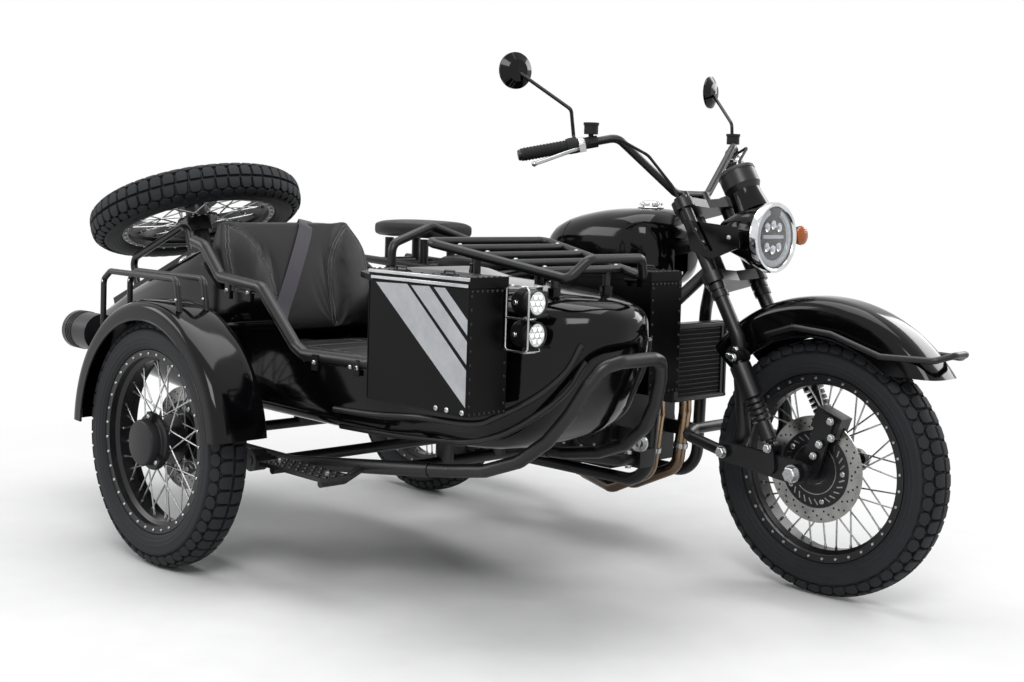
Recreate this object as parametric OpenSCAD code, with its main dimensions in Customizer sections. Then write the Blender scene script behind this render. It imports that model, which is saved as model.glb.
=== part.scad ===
// Motorcycle with a passenger sidecar on its right side.
// Millimetres. +X forward, +Y to the left, +Z up, ground at Z = 0.
// The modules are drawn from the rear axle and the motorcycle's mid-plane,
// and at_origin() moves them to the middle of the ground plan.

/* [Wheels] */
// Distance between the motorcycle's two axles
wheelbase = 1570; // [1480:5:1650]
// Sidecar axle ahead of the rear axle
wheel_lead = 290; // [240:5:340]
// Sidecar wheel plane from the motorcycle's mid-plane
track = 1170; // [1120:5:1230]
// Tyre radius over the tread blocks
tyre_r = 331; // [315:1:345]
// Tyre width at the widest point
tyre_w = 112; // [100:1:124]
// Rim radius at the tyre's bead
bead_r = 228; // [220:1:236]
// Rim width over the flanges
rim_w = 84; // [76:1:92]
// Spokes in each wheel
spoke_count = 36; // [24:4:40]
// Spoke diameter
spoke_d = 4; // [3:0.5:5]
// Hub flange radius
hub_flange_r = 66; // [58:1:74]
// Front hub length between the bearing faces
hub_len = 136; // [128:1:140]
// Rear hub length between the bearing faces
rear_hub_len = 176; // [170:1:180]
// Axle diameter
axle_d = 20; // [16:1:24]
// Brake disc radius
disc_r = 136; // [130:1:150]

/* [Steering] */
// Angle of the steering axis from the vertical
rake = 30; // [26:1:33]
// Steering axis at the height of the upper clamp, ahead of the rear axle
head_x = 1100; // [1080:1:1120]
// Height of the upper clamp
head_z = 964; // [950:1:980]
// Fork tube from the mid-plane
fork_y = 95; // [92:1:100]
// Fork tube diameter
fork_d = 38; // [34:1:40]
// Fork tubes ahead of the steering axis
fork_offset = 50; // [46:1:56]
// Leading arm from the mid-plane
arm_y = 140; // [138:1:150]
// Headlamp radius over its ring
lamp_r = 92; // [80:1:98]
// Handlebar half width
bar_half = 460; // [420:5:480]
// Handlebar tube diameter
bar_d = 22; // [20:1:26]
// Mirror radius
mirror_r = 50; // [44:1:56]

/* [Sidecar body] */
// Body's middle from the motorcycle's mid-plane
body_y = 690; // [680:2:700]
// Body half width at the seat
body_half = 300; // [290:2:306]
// Underside of the body
body_low = 395; // [385:1:405]
// Top of the nose deck
deck_z = 795; // [785:1:800]
// Wall thickness of the body
wall = 12; // [8:1:16]
// Slope of the boot deck
boot_slope = 21.5; // [18:0.5:24]

/* [Side boxes] */
// Box length
box_l = 345; // [310:5:360]
// Box height without the lid
box_h = 280; // [240:5:300]
// Box depth
box_d = 118; // [100:1:130]
// Box sheet thickness
box_wall = 4; // [3:0.5:6]
// Box lid height
lid_h = 24; // [20:1:30]

/* [Tubes] */
// Frame tube diameter of the motorcycle
frame_d = 34; // [30:1:38]
// Chassis tube diameter of the sidecar
chassis_d = 36; // [32:1:40]
// Bumper tube diameter
bumper_d = 32; // [28:1:34]
// Rack tube diameter
rack_d = 22; // [18:1:24]

/* [Hidden] */
$fn = 48;

// Clearances: still seats, running fits and the thickening of a tube at a bend
seat_gap = 0.3;
run_gap = 0.3;
bend_skin = 0.2;

// Steering axis
steer_dir = [sin(rake), 0, -cos(rake)];
steer_fwd = [cos(rake), 0, sin(rake)];
function on_steer(t, fwd = 0, y = 0) = [head_x, y, head_z] + t * steer_dir + fwd * steer_fwd;

// Wheel places
front_axle = [wheelbase, 0, tyre_r];
rear_axle = [0, 0, tyre_r];
side_axle = [wheel_lead, -track, tyre_r];

// Front end places
arm_pivot = [wheelbase - 220, 352];
shock_top = [wheelbase - 198, 602];
shock_foot = [wheelbase - 76, 350];

// Boot deck and spare wheel
deck_front = [40, 826];
hinge_x = -494;
function deck_at(x) = deck_front[1] + (x - deck_front[0]) * tan(boot_slope);
hinge_rise = 12;
hinge_z = deck_at(hinge_x) + hinge_rise;
lid_low = seat_gap - hinge_rise * cos(boot_slope);
lid_t = 18;
lid_half = 215;
lid_from = 14;
lid_to = 564;
rim_edge = 16;
hinge_y = 140;

// Side boxes
box_x = 985;
box_z = 521;
box_in = 246;
lid_gap = 1;
box_hinge_out = 6;
box_hinge_x = [box_x + 60, box_x + box_l - 60];
box_hinge_y = -body_y - box_in + box_hinge_out;
box_hinge_z = box_z + box_h + lid_gap / 2;
box_post_x = [1050, 1250];
box_post_z = 600;

// Motorcycle places
stem_d = 34;
cradle_y = 110;
cradle_z = 215;
pivot_y = 150;
swing_y = 112;
swing_z = 350;
shock_y = 146;
engine_front = 950;
exhaust_z = 165;
pillion_z = 845;
chain_y = 78;
chainwheel_r = 105;
sprocket = [584, 345];
rear_guard_r = 374;
plate_x = -340;
plate_t = 5;
plate_half = 90;
plate_hole_y = 60;
plate_hole_z = 455;
plate_hole_d = 7;
side_guard_r = 374;
side_guard_half = 78;
sprocket_r = 37;
function rail_z(x) = x > 420 ? 742 + (x - 420) * 46 / 220 - 4 : 742 - (x - 420) * 28 / 670;
function rail_top(x) = rail_z(x) + 12 + seat_gap;
function arc_top(c, r, x) = c[1] + sqrt(r * r - (x - c[0]) * (x - c[0]));
function guard_top(x) = arc_top([0, tyre_r], rear_guard_r, x);
spine_front = on_steer(80, -22);
function spine_at(x) = 800 + (x - 700) * (spine_front[2] - 800) / (spine_front[0] - 700);

// Tank sections. Columns: x, half width, low z, high z, squareness
tank_rows = [
  [600, 70, 818, 862, 3],
  [680, 125, 794, 930, 3],
  [800, 150, 766, 965, 3],
  [930, 152, 758, 977, 3],
  [1020, 132, 760, 968, 3],
  [1066, 76, 800, 916, 2.6]
];
cap_x = 949;
cap_z = 964;
cap_r = 32;

// Front end
guard_half = 72;
guard_d = 16;
guard_c = [wheelbase - 15, 350];
guard_r = 420;
guard_path = [for (p = [[-150, 80, 662], [-60, 92, 690], [50, 92, 683], [190, 90, 641],
  [320, 66, 642], [352, 30, 656]])
  [wheelbase + p[0], p[1], p[2]]];
caliper = [wheelbase + 44, 458];
lamp_x = 1380;
lamp_z = 912;
// Cowl behind the lamp. Columns: x, half width, low z, high z, squareness
cowl_rows = [[1250, 72, 876, 956, 4], [1305, 85, 850, 986, 2.8],
  [1366, lamp_r - 2, lamp_z - 89, lamp_z + 89, 2.05]];
gauge_at = [1264, 0, 1050];
gauge_axis = unit([-0.5, 0, 0.86]);
gauge_r = 51;
neck_top = -24;
bar_path = [[881, bar_half, 1113], [1040, bar_half - 200, 1167], [1096, 70, 1021], [1100, 40, 1019]];
grip_len = 150;
grip_dir = unit(bar_path[0] - bar_path[1]);
grip_in = bar_path[0] - grip_dir * grip_len;
mirror_at = [820, 432, 1342];
// Control cable from the lever's perch to the lamp's side plate
perch_len = 56;
cup_at = grip_in - grip_dir * 38;
cable_d = 8;
cable_path = [grip_in - grip_dir * 20 + [21, 0, 0], grip_in - grip_dir * 70 + [52, 0, 6],
  [1104, 205, 1122], [1146, 148, 1040], [1196, 136, 950], [1252, 130, 872]];
cable_clip = [1238, 132, 889];

// Sidecar chassis
side_arm_y = body_y + 350;
rail_end = [1040, 208, 342];
rail_path = [[60, -body_y - 295, 300], [600, -body_y - 295, 300],
  [rail_end[0], -body_y - rail_end[1], rail_end[2]]];
function rail_y(x) = -body_y - 295 + (x < 600 ? 0 : (x - 600) * 87 / 440);
function rail_z_at(x) = 300 + (x < 600 ? 0 : (x - 600) * 42 / 440);
step_post_x = [640, 840];
step_z = 306;
rail_dir = unit([rail_end[0] - 600, rail_end[1] - 295, rail_end[2] - 300]);
bumper_path = [rail_end + rail_dir * seat_gap, rail_end + rail_dir * 60, [1220, 197, 368], [1318, 184, 404],
  [1388, 168, 458], [1436, 148, 524], [1466, 126, 588], [1486, 100, 631], [1500, 60, 642]];
// Struts. Columns: end x, y, z at the motorcycle, lug face depth, start point at the chassis
strut_ends = [
  [1058, -170, 290, -112, [980, -body_y + 220, 336]],
  [455, -205, 255, -122, [440, -body_y + 295, 300]],
  [1076, -170, 590, -98, [910, -body_y + 230, 329]],
  [364, -190, 580, -126, [220, -body_y + 295, 300]]
];

nose_start = 700;
// Body sections. Columns: x, half width, low z, high z, squareness
body_rows = [
  [-556, 225, 540, deck_at(-556), 5],
  [-300, 285, 430, deck_at(-300), 6],
  [40, body_half, body_low, deck_at(40), 6],
  [100, body_half, body_low, 842, 6],
  [nose_start, body_half, body_low, 820, 6],
  [900, body_half - 36, body_low, deck_z, 6],
  [1000, body_half - 60, body_low, deck_z, 5],
  [1200, 228, body_low + 10, deck_z - 6, 4.5],
  [1300, 203, body_low + 45, deck_z - 12, 4],
  [1380, 160, body_low + 130, deck_z - 20, 3.5],
  [1440, 112, body_low + 217, deck_z - 34, 3],
  [1476, 50, body_low + 277, deck_z - 57, 2.5],
  [1484, 24, body_low + 295, deck_z - 74, 2.3]
];
// The boot and the cockpit have straight sides, and the nose is smooth
function hull_rows(rows) = concat([for (r = rows) if (r[0] < nose_start) r],
  smooth([for (r = rows) if (r[0] >= nose_start) r], 3));
seat_z = 500;
seat_from = 230;
seat_to = 690;
seat_foot = [244, seat_z + 88];
seat_lean = 20.7;
seat_back_t = 50;
cockpit_front = 770;
rim_d = 32;
// Cockpit rim on the right-hand side. Columns: x, z
rim_path = [[110, 848], [165, 836], [250, 755], [445, 740], [605, 600], [645, 583],
  [872, 583], [918, 608], [944, 700]];
entry_left = [[100, 900], [100, 820], [250, 722], [cockpit_front, 722], [cockpit_front, 900]];
function side_at(x) = x < nose_start ? body_half
  : x < 900 ? body_half - (x - nose_start) * 0.18 : body_half - 36 - (x - 900) * 0.24;
// A line moved sideways by d, mitred at its corners
function beside(pts, d) = [for (i = [0:len(pts) - 1]) let (
  u = unit(pts[min(i + 1, len(pts) - 1)] - pts[min(i, len(pts) - 2)]),
  v = unit(pts[max(i, 1)] - pts[max(i - 1, 0)]),
  m = unit(u + v))
  pts[i] + [m[1], -m[0]] * d / (m * u)];
entry_right = concat([[rim_path[0][0] - 8, 900]], beside(rim_path, rim_d / 2 + 1), [[960, 900]]);
// Feet on the nose deck. Columns: x, y from the body's middle, z of the pad
hoop_foot = [800, 145, 818];
rack_feet = [[1080, 110, 806], [1320, 90, 796]];
lamp_lug = [1357, 205, 735];

// Nose rack
rack_rear = 1000;
rack_front = 1400;
function rack_z(x) = 888 - (x - rack_rear) * 0.165;
function rack_half(x) = 205 - (x - rack_rear) * 0.187;

// Spare wheel on the boot lid, along the lid and above its hinge
spare_u = 240;
spare_w = 217;

// Extents of the whole vehicle, for the origin
front_x = guard_path[len(guard_path) - 1][0] + guard_d / 2;
rear_x = hinge_x + (spare_u - tyre_r) * cos(boot_slope) - spare_w * sin(boot_slope) - 7;
left_y = mirror_at[1] + 48;
right_y = -track - side_guard_half;
mid_x = (front_x + rear_x) / 2;
mid_y = (left_y + right_y) / 2;

black = [0.04, 0.04, 0.045];
satin = [0.09, 0.09, 0.095];
steel = [0.62, 0.62, 0.62];
rubber = [0.07, 0.07, 0.07];
bronze = [0.55, 0.43, 0.33];
leather = [0.1, 0.1, 0.1];
clear = [0.85, 0.87, 0.9];

function unit(v) = v / norm(v);
function bend_angle(u, v) = acos(max(-1, min(1, u * v)));

module at_origin() translate([-mid_x, -mid_y, 0]) children();
module both_sides(y = 0) {
  children();
  translate([0, 2 * y, 0]) mirror([0, 1, 0]) children();
}
module at_wheel(axle) translate(axle) rotate([90, 0, 0]) children();
module at_lid() translate([hinge_x, -body_y, hinge_z]) rotate([0, -boot_slope, 0]) children();
module at_spare() at_lid() translate([spare_u, 0, spare_w]) children();

// Frame with its Z axis along a direction
module aim(p, w) {
  h = abs(w[1]) < 0.9 ? [0, 1, 0] : [1, 0, 0];
  x = unit(cross(h, w));
  y = cross(w, x);
  multmatrix([[x[0], y[0], w[0], p[0]], [x[1], y[1], w[1], p[1]], [x[2], y[2], w[2], p[2]], [0, 0, 0, 1]])
    children();
}

module rod(a, b, d) aim(a, unit(b - a)) cylinder(d = d, h = norm(b - a));

module tube_bend(p, u, v, d, r) {
  a = bend_angle(u, v);
  z = unit(cross(u, v));
  x = cross(u, z);
  c = p - u * r * tan(a / 2) - x * r;
  multmatrix([[x[0], u[0], z[0], c[0]], [x[1], u[1], z[1], c[1]], [x[2], u[2], z[2], c[2]], [0, 0, 0, 1]])
    rotate_extrude(angle = a) translate([r, 0]) circle(d = d + 2 * bend_skin);
}

// Bent tube through a list of corner points, with one bend radius
module tube(pts, d, r) {
  n = len(pts);
  u = [for (i = [0:n - 2]) unit(pts[i + 1] - pts[i])];
  trim = [for (i = [0:n - 1]) (i == 0 || i == n - 1) ? 0 : r * tan(bend_angle(u[i - 1], u[i]) / 2)];
  back = [for (t = trim) t > 2 ? t - 2 : 0];
  for (i = [0:n - 2]) rod(pts[i] + u[i] * back[i], pts[i + 1] - u[i] * back[i + 1], d);
  for (i = [1:n - 2]) if (trim[i] > 2) tube_bend(pts[i], u[i - 1], u[i], d, r);
}

// Flat link between two round eyes, in the XZ plane, standing on y and thick towards +Y
module link_plate(p, q, rp, rq, thick, y) {
  n = [-(q - p)[1], (q - p)[0]] / norm(q - p);
  translate([0, y + thick, 0]) rotate([90, 0, 0]) linear_extrude(thick) {
    translate(p) circle(rp);
    translate(q) circle(rq);
    polygon([p + n * rp, p - n * rp, q - n * rq, q + n * rq]);
  }
}

// Rounded closed form along X. Columns: x, half width, low z, high z, squareness of the section
function ring(row, n) = [for (i = [0:n - 1])
  let (t = 360 * (i + 0.5) / n, e = 2 / row[4], c = cos(t), s = sin(t))
  [row[0], row[1] * sign(c) * pow(abs(c), e),
   (row[2] + row[3]) / 2 + (row[3] - row[2]) / 2 * sign(s) * pow(abs(s), e)]];
// Rows along a smooth curve through the given ones
function slope(rows, i) = let (a = rows[max(i - 1, 0)], b = rows[min(i + 1, len(rows) - 1)])
  (b - a) / (b[0] - a[0]);
function between(rows, i, t) = let (a = rows[i], b = rows[i + 1], h = b[0] - a[0])
  a * (2 * t * t * t - 3 * t * t + 1) + slope(rows, i) * h * (t * t * t - 2 * t * t + t)
  + b * (3 * t * t - 2 * t * t * t) + slope(rows, i + 1) * h * (t * t * t - t * t);
function smooth(rows, per) = [for (i = [0:len(rows) - 2], k = [0:per - 1]) between(rows, i, k / per),
  rows[len(rows) - 1]];
module loft(rows, n = 24) {
  m = len(rows);
  pts = [for (row = rows) each ring(row, n)];
  first = [for (i = [0:n - 1]) i];
  last = [for (i = [n - 1:-1:0]) (m - 1) * n + i];
  sides = [for (s = [0:m - 2], i = [0:n - 1]) let (j = (i + 1) % n, a = s * n, b = a + n)
    each [[a + i, b + i, b + j], [a + i, b + j, a + j]]];
  polyhedron(pts, concat([first], sides, [last]));
}

// Wheels, drawn with the axle along Z; +Z is the right-hand side of the vehicle
function tyre_section() = let (mid = (tyre_r + bead_r) / 2, half = (tyre_r - bead_r) / 2)
  [for (t = [-150:15:150]) [mid + half * sign(cos(t)) * pow(abs(cos(t)), 0.8),
    tyre_w / 2 * sign(sin(t)) * pow(abs(sin(t)), 0.75)]];

module tyre() color(rubber) difference() {
  rotate_extrude($fn = 96) polygon(tyre_section());
  cylinder(r = bead_r + seat_gap, h = tyre_w, center = true, $fn = 96);
  for (s = [0, 1]) mirror([0, 0, s]) translate([0, 0, rim_w / 2 - 7 - seat_gap])
    cylinder(r = bead_r + 12 + seat_gap, h = tyre_w, $fn = 96);
}

module rim() rotate_extrude($fn = 96) polygon([
  [bead_r - 16, -16], [bead_r - 16, 16], [bead_r - 6, 24], [bead_r - 6, rim_w / 2],
  [bead_r + 12, rim_w / 2], [bead_r + 12, rim_w / 2 - 7], [bead_r, rim_w / 2 - 7], [bead_r, 22],
  [bead_r - 9, 12], [bead_r - 9, -12], [bead_r, -22], [bead_r, 7 - rim_w / 2], [bead_r + 12, 7 - rim_w / 2],
  [bead_r + 12, -rim_w / 2], [bead_r - 6, -rim_w / 2], [bead_r - 6, -24]]);

module hub(half) difference() {
  union() {
    cylinder(r = hub_flange_r * 0.55, h = 2 * half, center = true);
    for (s = [-1, 1]) translate([0, 0, s * 26]) cylinder(r = hub_flange_r, h = 8, center = true);
  }
  cylinder(d = axle_d + 2 * run_gap, h = 4 * half, center = true);
}

module spokes() for (i = [0:spoke_count - 1]) {
  side = i % 2 == 0 ? 1 : -1;
  lean = floor(i / 2) % 2 == 0 ? 40 : -40;
  a = i * 360 / spoke_count;
  rod([(hub_flange_r - 5) * cos(a + lean), (hub_flange_r - 5) * sin(a + lean), side * 26],
    [(bead_r - 12) * cos(a), (bead_r - 12) * sin(a), side * 5], spoke_d);
}

module wire_wheel(len) color(satin) {
  rim();
  hub(len / 2);
  spokes();
}

module brake_disc(z) color(steel) translate([0, 0, z]) difference() {
  cylinder(r = disc_r, h = 5, center = true);
  cylinder(r = hub_flange_r * 0.55 + seat_gap, h = 6, center = true);
}

// Motorcycle frame: spine, head tube, double cradle and seat rails
module bike_frame() color(satin) at_origin() {
  difference() {
    union() {
      rod(on_steer(20), on_steer(200), 56);
      tube([spine_front, [700, 0, 800], [420, 0, 730]], 44, 120);
      both_sides() tube([on_steer(170, -18, 14), [1085, 95, 690], [1060, cradle_y, cradle_z],
        [480, cradle_y + 15, cradle_z], [400, pivot_y, 400], [330, 105, 741]], frame_d, 80);
    }
    rod(on_steer(19), on_steer(201), stem_d + 2 * run_gap);
  }
  both_sides() {
    tube([[640, 12, 788], [420, 105, 742], [-250, 105, 770]], 26, 120);
    translate([engine_front + seat_gap, cradle_y - 6, 320]) cube([1062 - engine_front, 12, 40]);
    rod([410, 0, swing_z], [410, pivot_y, swing_z], 40);
  }
  for (x = [-150, 30, 250, 450]) rod([x, -105, rail_z(x)], [x, 105, rail_z(x)], 24);
  for (x = [-150, 30], y = [-60, 60]) rod([x, y, rail_z(x)], [x, y, pillion_z - seat_gap], 30);
  rod([700, -cradle_y - 8, cradle_z], [700, cradle_y + 8, cradle_z], 30);
  for (m = strut_ends) translate([m[0] - 25, m[1], m[2] - 25]) cube([50, -m[1] + m[3], 50]);
}

module engine() color(satin) at_origin() {
  translate([640, -140, 240]) cube([engine_front - 640, 280, 210]);
  translate([545, -140, 260]) cube([100, 200, 180]);
  translate([430 + seat_gap, -40, swing_z - 20]) cube([120, 80, 40]);
  translate([740, -105, 440]) cube([190, 210, 180]);
  translate([732, -115, 612]) cube([210, 230, 90]);
  for (y = [-58, 58]) translate([837, y, 702]) rotate([0, 90, 0]) cylinder(r = 48, h = 190, center = true);
  for (s = [-1, 1]) translate([0, s * 130, 0]) rotate([-90 * s, 0, 0]) {
    translate([720, s * -345, 0]) cylinder(r = 98, h = 32);
    translate([870, s * -350, 0]) cylinder(r = 68, h = 28);
  }
  rod([sprocket[0], 50, sprocket[1]], [sprocket[0], chain_y + 10, sprocket[1]], 30);
  rod([sprocket[0], chain_y - 4, sprocket[1]], [sprocket[0], chain_y + 4, sprocket[1]], 2 * sprocket_r);
}

module radiator() color(satin) at_origin() {
  difference() {
    translate([1112, -115, 450]) cube([34, 230, 215]);
    translate([1138, -95, 462]) cube([20, 190, 190]);
  }
  translate([1122, -95, 462]) cube([18, 190, 190]);
  both_sides() translate([1094, 84, 500]) cube([19, 30, 30]);
}

module exhaust() color(bronze) at_origin() {
  tube([[942 + seat_gap, 60, 640], [1045, 60, 640], [1052, 60, 400], [1030, 60, 235], [880, 50, exhaust_z],
    [640, 62, exhaust_z], [450, 200, exhaust_z + 8], [270, 240, 285]], 36, 55);
  tube([[942 + seat_gap, -60, 640], [1045, -60, 640], [1052, -60, 400],
    [1030, -60, 235], [880, -50, exhaust_z],
    [690, 40, exhaust_z]], 36, 55);
  rod([275, 240, 283], [-330, 245, 345], 104);
}

module fuel_tank() color(black) at_origin() difference() {
  loft(smooth(tank_rows, 3), 36);
  translate([0, 30, 0]) rotate([90, 0, 0]) linear_extrude(60) polygon([[560, 740], [1150, 740],
    [1150, spine_at(1150) + 22.5 + seat_gap], [560, spine_at(560) + 22.5 + seat_gap]]);
  translate([cap_x, 0, cap_z]) cylinder(r = cap_r + seat_gap, h = 60);
}

module filler_cap() color(steel) at_origin() translate([cap_x, 0, cap_z + seat_gap]) {
  cylinder(r = cap_r, h = 14);
  cylinder(r = cap_r - 5, h = 30);
}

module rider_seat() color(leather) at_origin() loft([[140, 110, rail_top(140), 806, 4],
  [250, 132, rail_top(250), 816, 4], [450, 128, rail_top(450) + 5, 812, 4], [585, 80, 800, 845, 3.5]]);

module pillion_seat() color(leather) at_origin() loft([[-205, 95, pillion_z, pillion_z + 55, 4],
  [-180, 118, pillion_z, pillion_z + 64, 5], [40, 120, pillion_z, pillion_z + 66, 5],
  [85, 95, pillion_z, pillion_z + 50, 4]]);

// Round mudguard over a wheel: flat skirts at half the width from radius low, and a round crown up to r
function crown(r, base, half) = [for (t = [-90:9:90])
  [base + (r - base) * pow(abs(cos(t)), 0.6), half * sign(t) * pow(abs(sin(t)), 0.6)]];
module mudguard(r, low, skirt, half, sheet, from, to) {
  outer = crown(r, low + skirt, half);
  inner = crown(r - sheet, low + skirt, half - sheet);
  rotate([90, 0, 0]) rotate([0, 0, from]) rotate_extrude(angle = to - from, $fn = 96) polygon(concat(
    [[low, -half]], outer, [[low, half], [low, half - sheet]],
    [for (i = [len(inner) - 1:-1:0]) inner[i]], [[low, sheet - half]]));
}

module rear_fender() color(black) at_origin() {
  translate(rear_axle) mudguard(rear_guard_r, 335, 12, 78, 5, 24, 168);
  translate([plate_x, 0, 0]) rotate([90, 0, 90]) linear_extrude(plate_t) difference() {
    translate([-plate_half, 430]) square([2 * plate_half, 190]);
    for (y = [-1, 1]) translate([y * plate_hole_y, plate_hole_z]) circle(d = plate_hole_d);
  }
  translate([plate_x + 1, -40, 500]) cube([29, 80, 60]);
  for (x = [-150, 250]) rod([x, 0, guard_top(x) - 4], [x, 0, rail_z(x) - 12 - seat_gap], 20);
}

module rear_lamps() color("darkred") at_origin() {
  rod([plate_x - seat_gap - 60, 0, 560], [plate_x - seat_gap, 0, 560], 90);
  rod([-150, -track - 20, 586], [-26, -track - 20, 586], 104);
  rod([-30, -track - 20, 586], [5.5, -track - 20, 586], 24);
}

module swingarms() color(satin) at_origin() {
  sidecar_arm();
  difference() {
    union() both_sides() {
      rod([410, swing_y, swing_z], [0, swing_y, tyre_r], 36);
      rod([410, swing_y - 20, swing_z], [410, swing_y + 10, swing_z], 62);
      rod([0, swing_y - 16, tyre_r], [0, swing_y + 16, tyre_r], 52);
      rod([30, swing_y + 10, 345], [30, shock_y + 16, 345], 16);
    }
    rod([410, -pivot_y, swing_z], [410, pivot_y, swing_z], 40 + 2 * run_gap);
  }
  rod([0, -swing_y - 30, tyre_r], [0, swing_y + 30, tyre_r], axle_d);
}

// Coil-over strut between two eyes that lie along Y
module strut(a, b, eye_d, bore_d, body_d, eye_w) {
  u = unit(b - a);
  len = norm(b - a);
  difference() {
    union() {
      rod(a - [0, eye_w / 2, 0], a + [0, eye_w / 2, 0], eye_d);
      rod(b - [0, eye_w / 2, 0], b + [0, eye_w / 2, 0], eye_d);
      rod(a + u * 4, b - u * 4, body_d * 0.4);
      rod(a + u * 24, a + u * len * 0.46, body_d);
      for (i = [0:3]) rod(a + u * len * (0.49 + i * 0.06), a + u * len * (0.525 + i * 0.06), body_d * 0.9);
      rod(a + u * len * 0.73, b - u * 20, body_d * 0.72);
    }
    for (p = [a, b]) rod(p - [0, eye_w, 0], p + [0, eye_w, 0], bore_d);
  }
}

module shocks() color(satin) at_origin() {
  both_sides() strut([-10, shock_y, 735], [30, shock_y, 345], 34, 16 + 2 * seat_gap, 50, 26);
  strut([300, -body_y - 350, 640], [330, -body_y - 350, 372], 34, 16 + 2 * seat_gap, 44, 26);
}

function belt(c1, r1, c2, r2) = let (d = norm(c2 - c1), u = (c2 - c1) / d, n = [-u[1], u[0]],
  s = (r1 - r2) / d, k = sqrt(1 - s * s))
  [c1 + r1 * (u * s + n * k), c2 + r2 * (u * s + n * k),
   c2 + r2 * (u * s - n * k), c1 + r1 * (u * s - n * k)];
module belt_face(grow) {
  r1 = chainwheel_r + 2 + grow;
  r2 = sprocket_r + seat_gap + grow;
  translate([0, tyre_r]) circle(r1, $fn = 96);
  translate(sprocket) circle(r2);
  polygon(belt([0, tyre_r], r1, sprocket, r2));
}
module drive_chain() color(satin) at_origin() translate([0, chain_y + 7, 0]) rotate([90, 0, 0])
  linear_extrude(14) difference() {
    belt_face(13);
    belt_face(0);
  }

module side_covers() color(black) at_origin() {
  both_sides() translate([500, 0, 590]) rotate([-90, 0, 0]) linear_extrude(125) difference() {
    circle(105);
    translate([60, -110]) square([60, 220]);
  }
  for (y = [-50, 50]) rod([450, y, 640], [450, y, rail_z(450) - 12 - seat_gap], 22);
}

// Fork, bars and lamp, which turn about the steering axis
module clamp_plate(t, thick) aim(on_steer(t), steer_dir) linear_extrude(thick) {
  circle(36);
  for (s = [-1, 1]) translate([-fork_offset, s * fork_y]) circle(fork_d / 2 + 11);
  polygon([[24, 24], [24, -24], [-fork_offset + 22, -fork_y - 18], [-fork_offset - 26, -fork_y],
    [-fork_offset - 12, 0], [-fork_offset - 26, fork_y], [-fork_offset + 22, fork_y + 18]]);
}

module fork() color(satin) at_origin() {
  aim(on_steer(-12), steer_dir) cylinder(d = stem_d, h = 236);
  clamp_plate(-14, 26);
  clamp_plate(206, 30);
  both_sides() {
    tube([on_steer(-24, fork_offset, fork_y), on_steer(400, fork_offset, fork_y),
      [arm_pivot[0] + 22, fork_y, 395],
      [arm_pivot[0], fork_y, arm_pivot[1] - 8]], fork_d, 70);
    rod([arm_pivot[0], 76, arm_pivot[1]], [arm_pivot[0], arm_y - 8 - seat_gap, arm_pivot[1]], 48);
    for (t = [240, 262])
      rod(on_steer(t, fork_offset, fork_y), on_steer(t + 16, fork_offset, fork_y), fork_d + 8);
    link_plate([arm_pivot[0] - 5, 604], shock_top, 24, 18, 14, 104);
    rod([shock_top[0], 106, shock_top[1]], [shock_top[0], arm_y + 16, shock_top[1]], 16);
    rod([arm_pivot[0] - 5, guard_half + seat_gap, 625], [arm_pivot[0] - 5, fork_y, 625], 24);
  }
}

module leading_arms() color(satin) at_origin() {
  both_sides() {
    link_plate(arm_pivot, [wheelbase, tyre_r], 26, 30, 16, arm_y - 8);
    for (y = [arm_y - 18, arm_y + 13.3]) link_plate(shock_foot - [0, 14], shock_foot + [0, 34], 20, 14, 5, y);
    rod([shock_foot[0], arm_y - 18, shock_foot[1] - 14], [shock_foot[0], arm_y + 18, shock_foot[1] - 14], 36);
    rod([shock_foot[0], arm_y - 18, shock_foot[1] + 34], [shock_foot[0], arm_y + 22, shock_foot[1] + 34], 12);
    rod([arm_pivot[0], arm_y, arm_pivot[1]], [arm_pivot[0], arm_y + 20, arm_pivot[1]], 30);
    rod([wheelbase, hub_len / 2 + 1, tyre_r], [wheelbase, arm_y, tyre_r], 32);
    rod([wheelbase, arm_y, tyre_r], [wheelbase, arm_y + 22, tyre_r], 36);
  }
  rod([wheelbase, -arm_y - 10, tyre_r], [wheelbase, arm_y + 10, tyre_r], axle_d);
  tube([for (p = [[-4, -arm_y - 10, 0], [-140, -132, 22], [-165, -70, 28], [-165, 70, 28], [-140, 132, 22],
    [-4, arm_y + 10, 0]]) [arm_pivot[0] + p[0], p[1], arm_pivot[1] + p[2]]], 30, 45);
}

module front_shocks() color(satin) at_origin() both_sides()
  strut([shock_top[0], arm_y, shock_top[1]], [shock_foot[0], arm_y, shock_foot[1] + 34],
    32, 16 + 2 * seat_gap, 56, 25);

module front_fender() color(black) at_origin() difference() {
  translate([guard_c[0], 0, guard_c[1]]) mudguard(guard_r, 318, 45, guard_half, 5, 20, 140);
  translate([wheelbase, -100, 300]) cube([500, 200, 294]);
}

module fender_guard() color(satin) at_origin() {
  both_sides() for (i = [1, 3]) let (p = guard_path[i])
    rod([p[0], guard_half + seat_gap, p[2]], [p[0], 92, p[2]], 12);
  tube(concat([for (p = guard_path) p], [for (i = [len(guard_path) - 1:-1:0])
    [guard_path[i][0], -guard_path[i][1], guard_path[i][2]]]), guard_d, 26);
}

module front_brake() color(satin) at_origin() difference() {
  union() {
    link_plate([wheelbase, tyre_r], caliper, 28, 24, 8, -93);
    translate([caliper[0], -62, caliper[1]]) rotate([0, 20, 0]) cube([76, 48, 56], center = true);
  }
  rod([wheelbase, -120, tyre_r], [wheelbase, 0, tyre_r], 32 + 2 * seat_gap);
  translate([wheelbase, -58, tyre_r]) rotate([90, 0, 0]) cylinder(r = disc_r + 5, h = 15, center = true);
}

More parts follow.
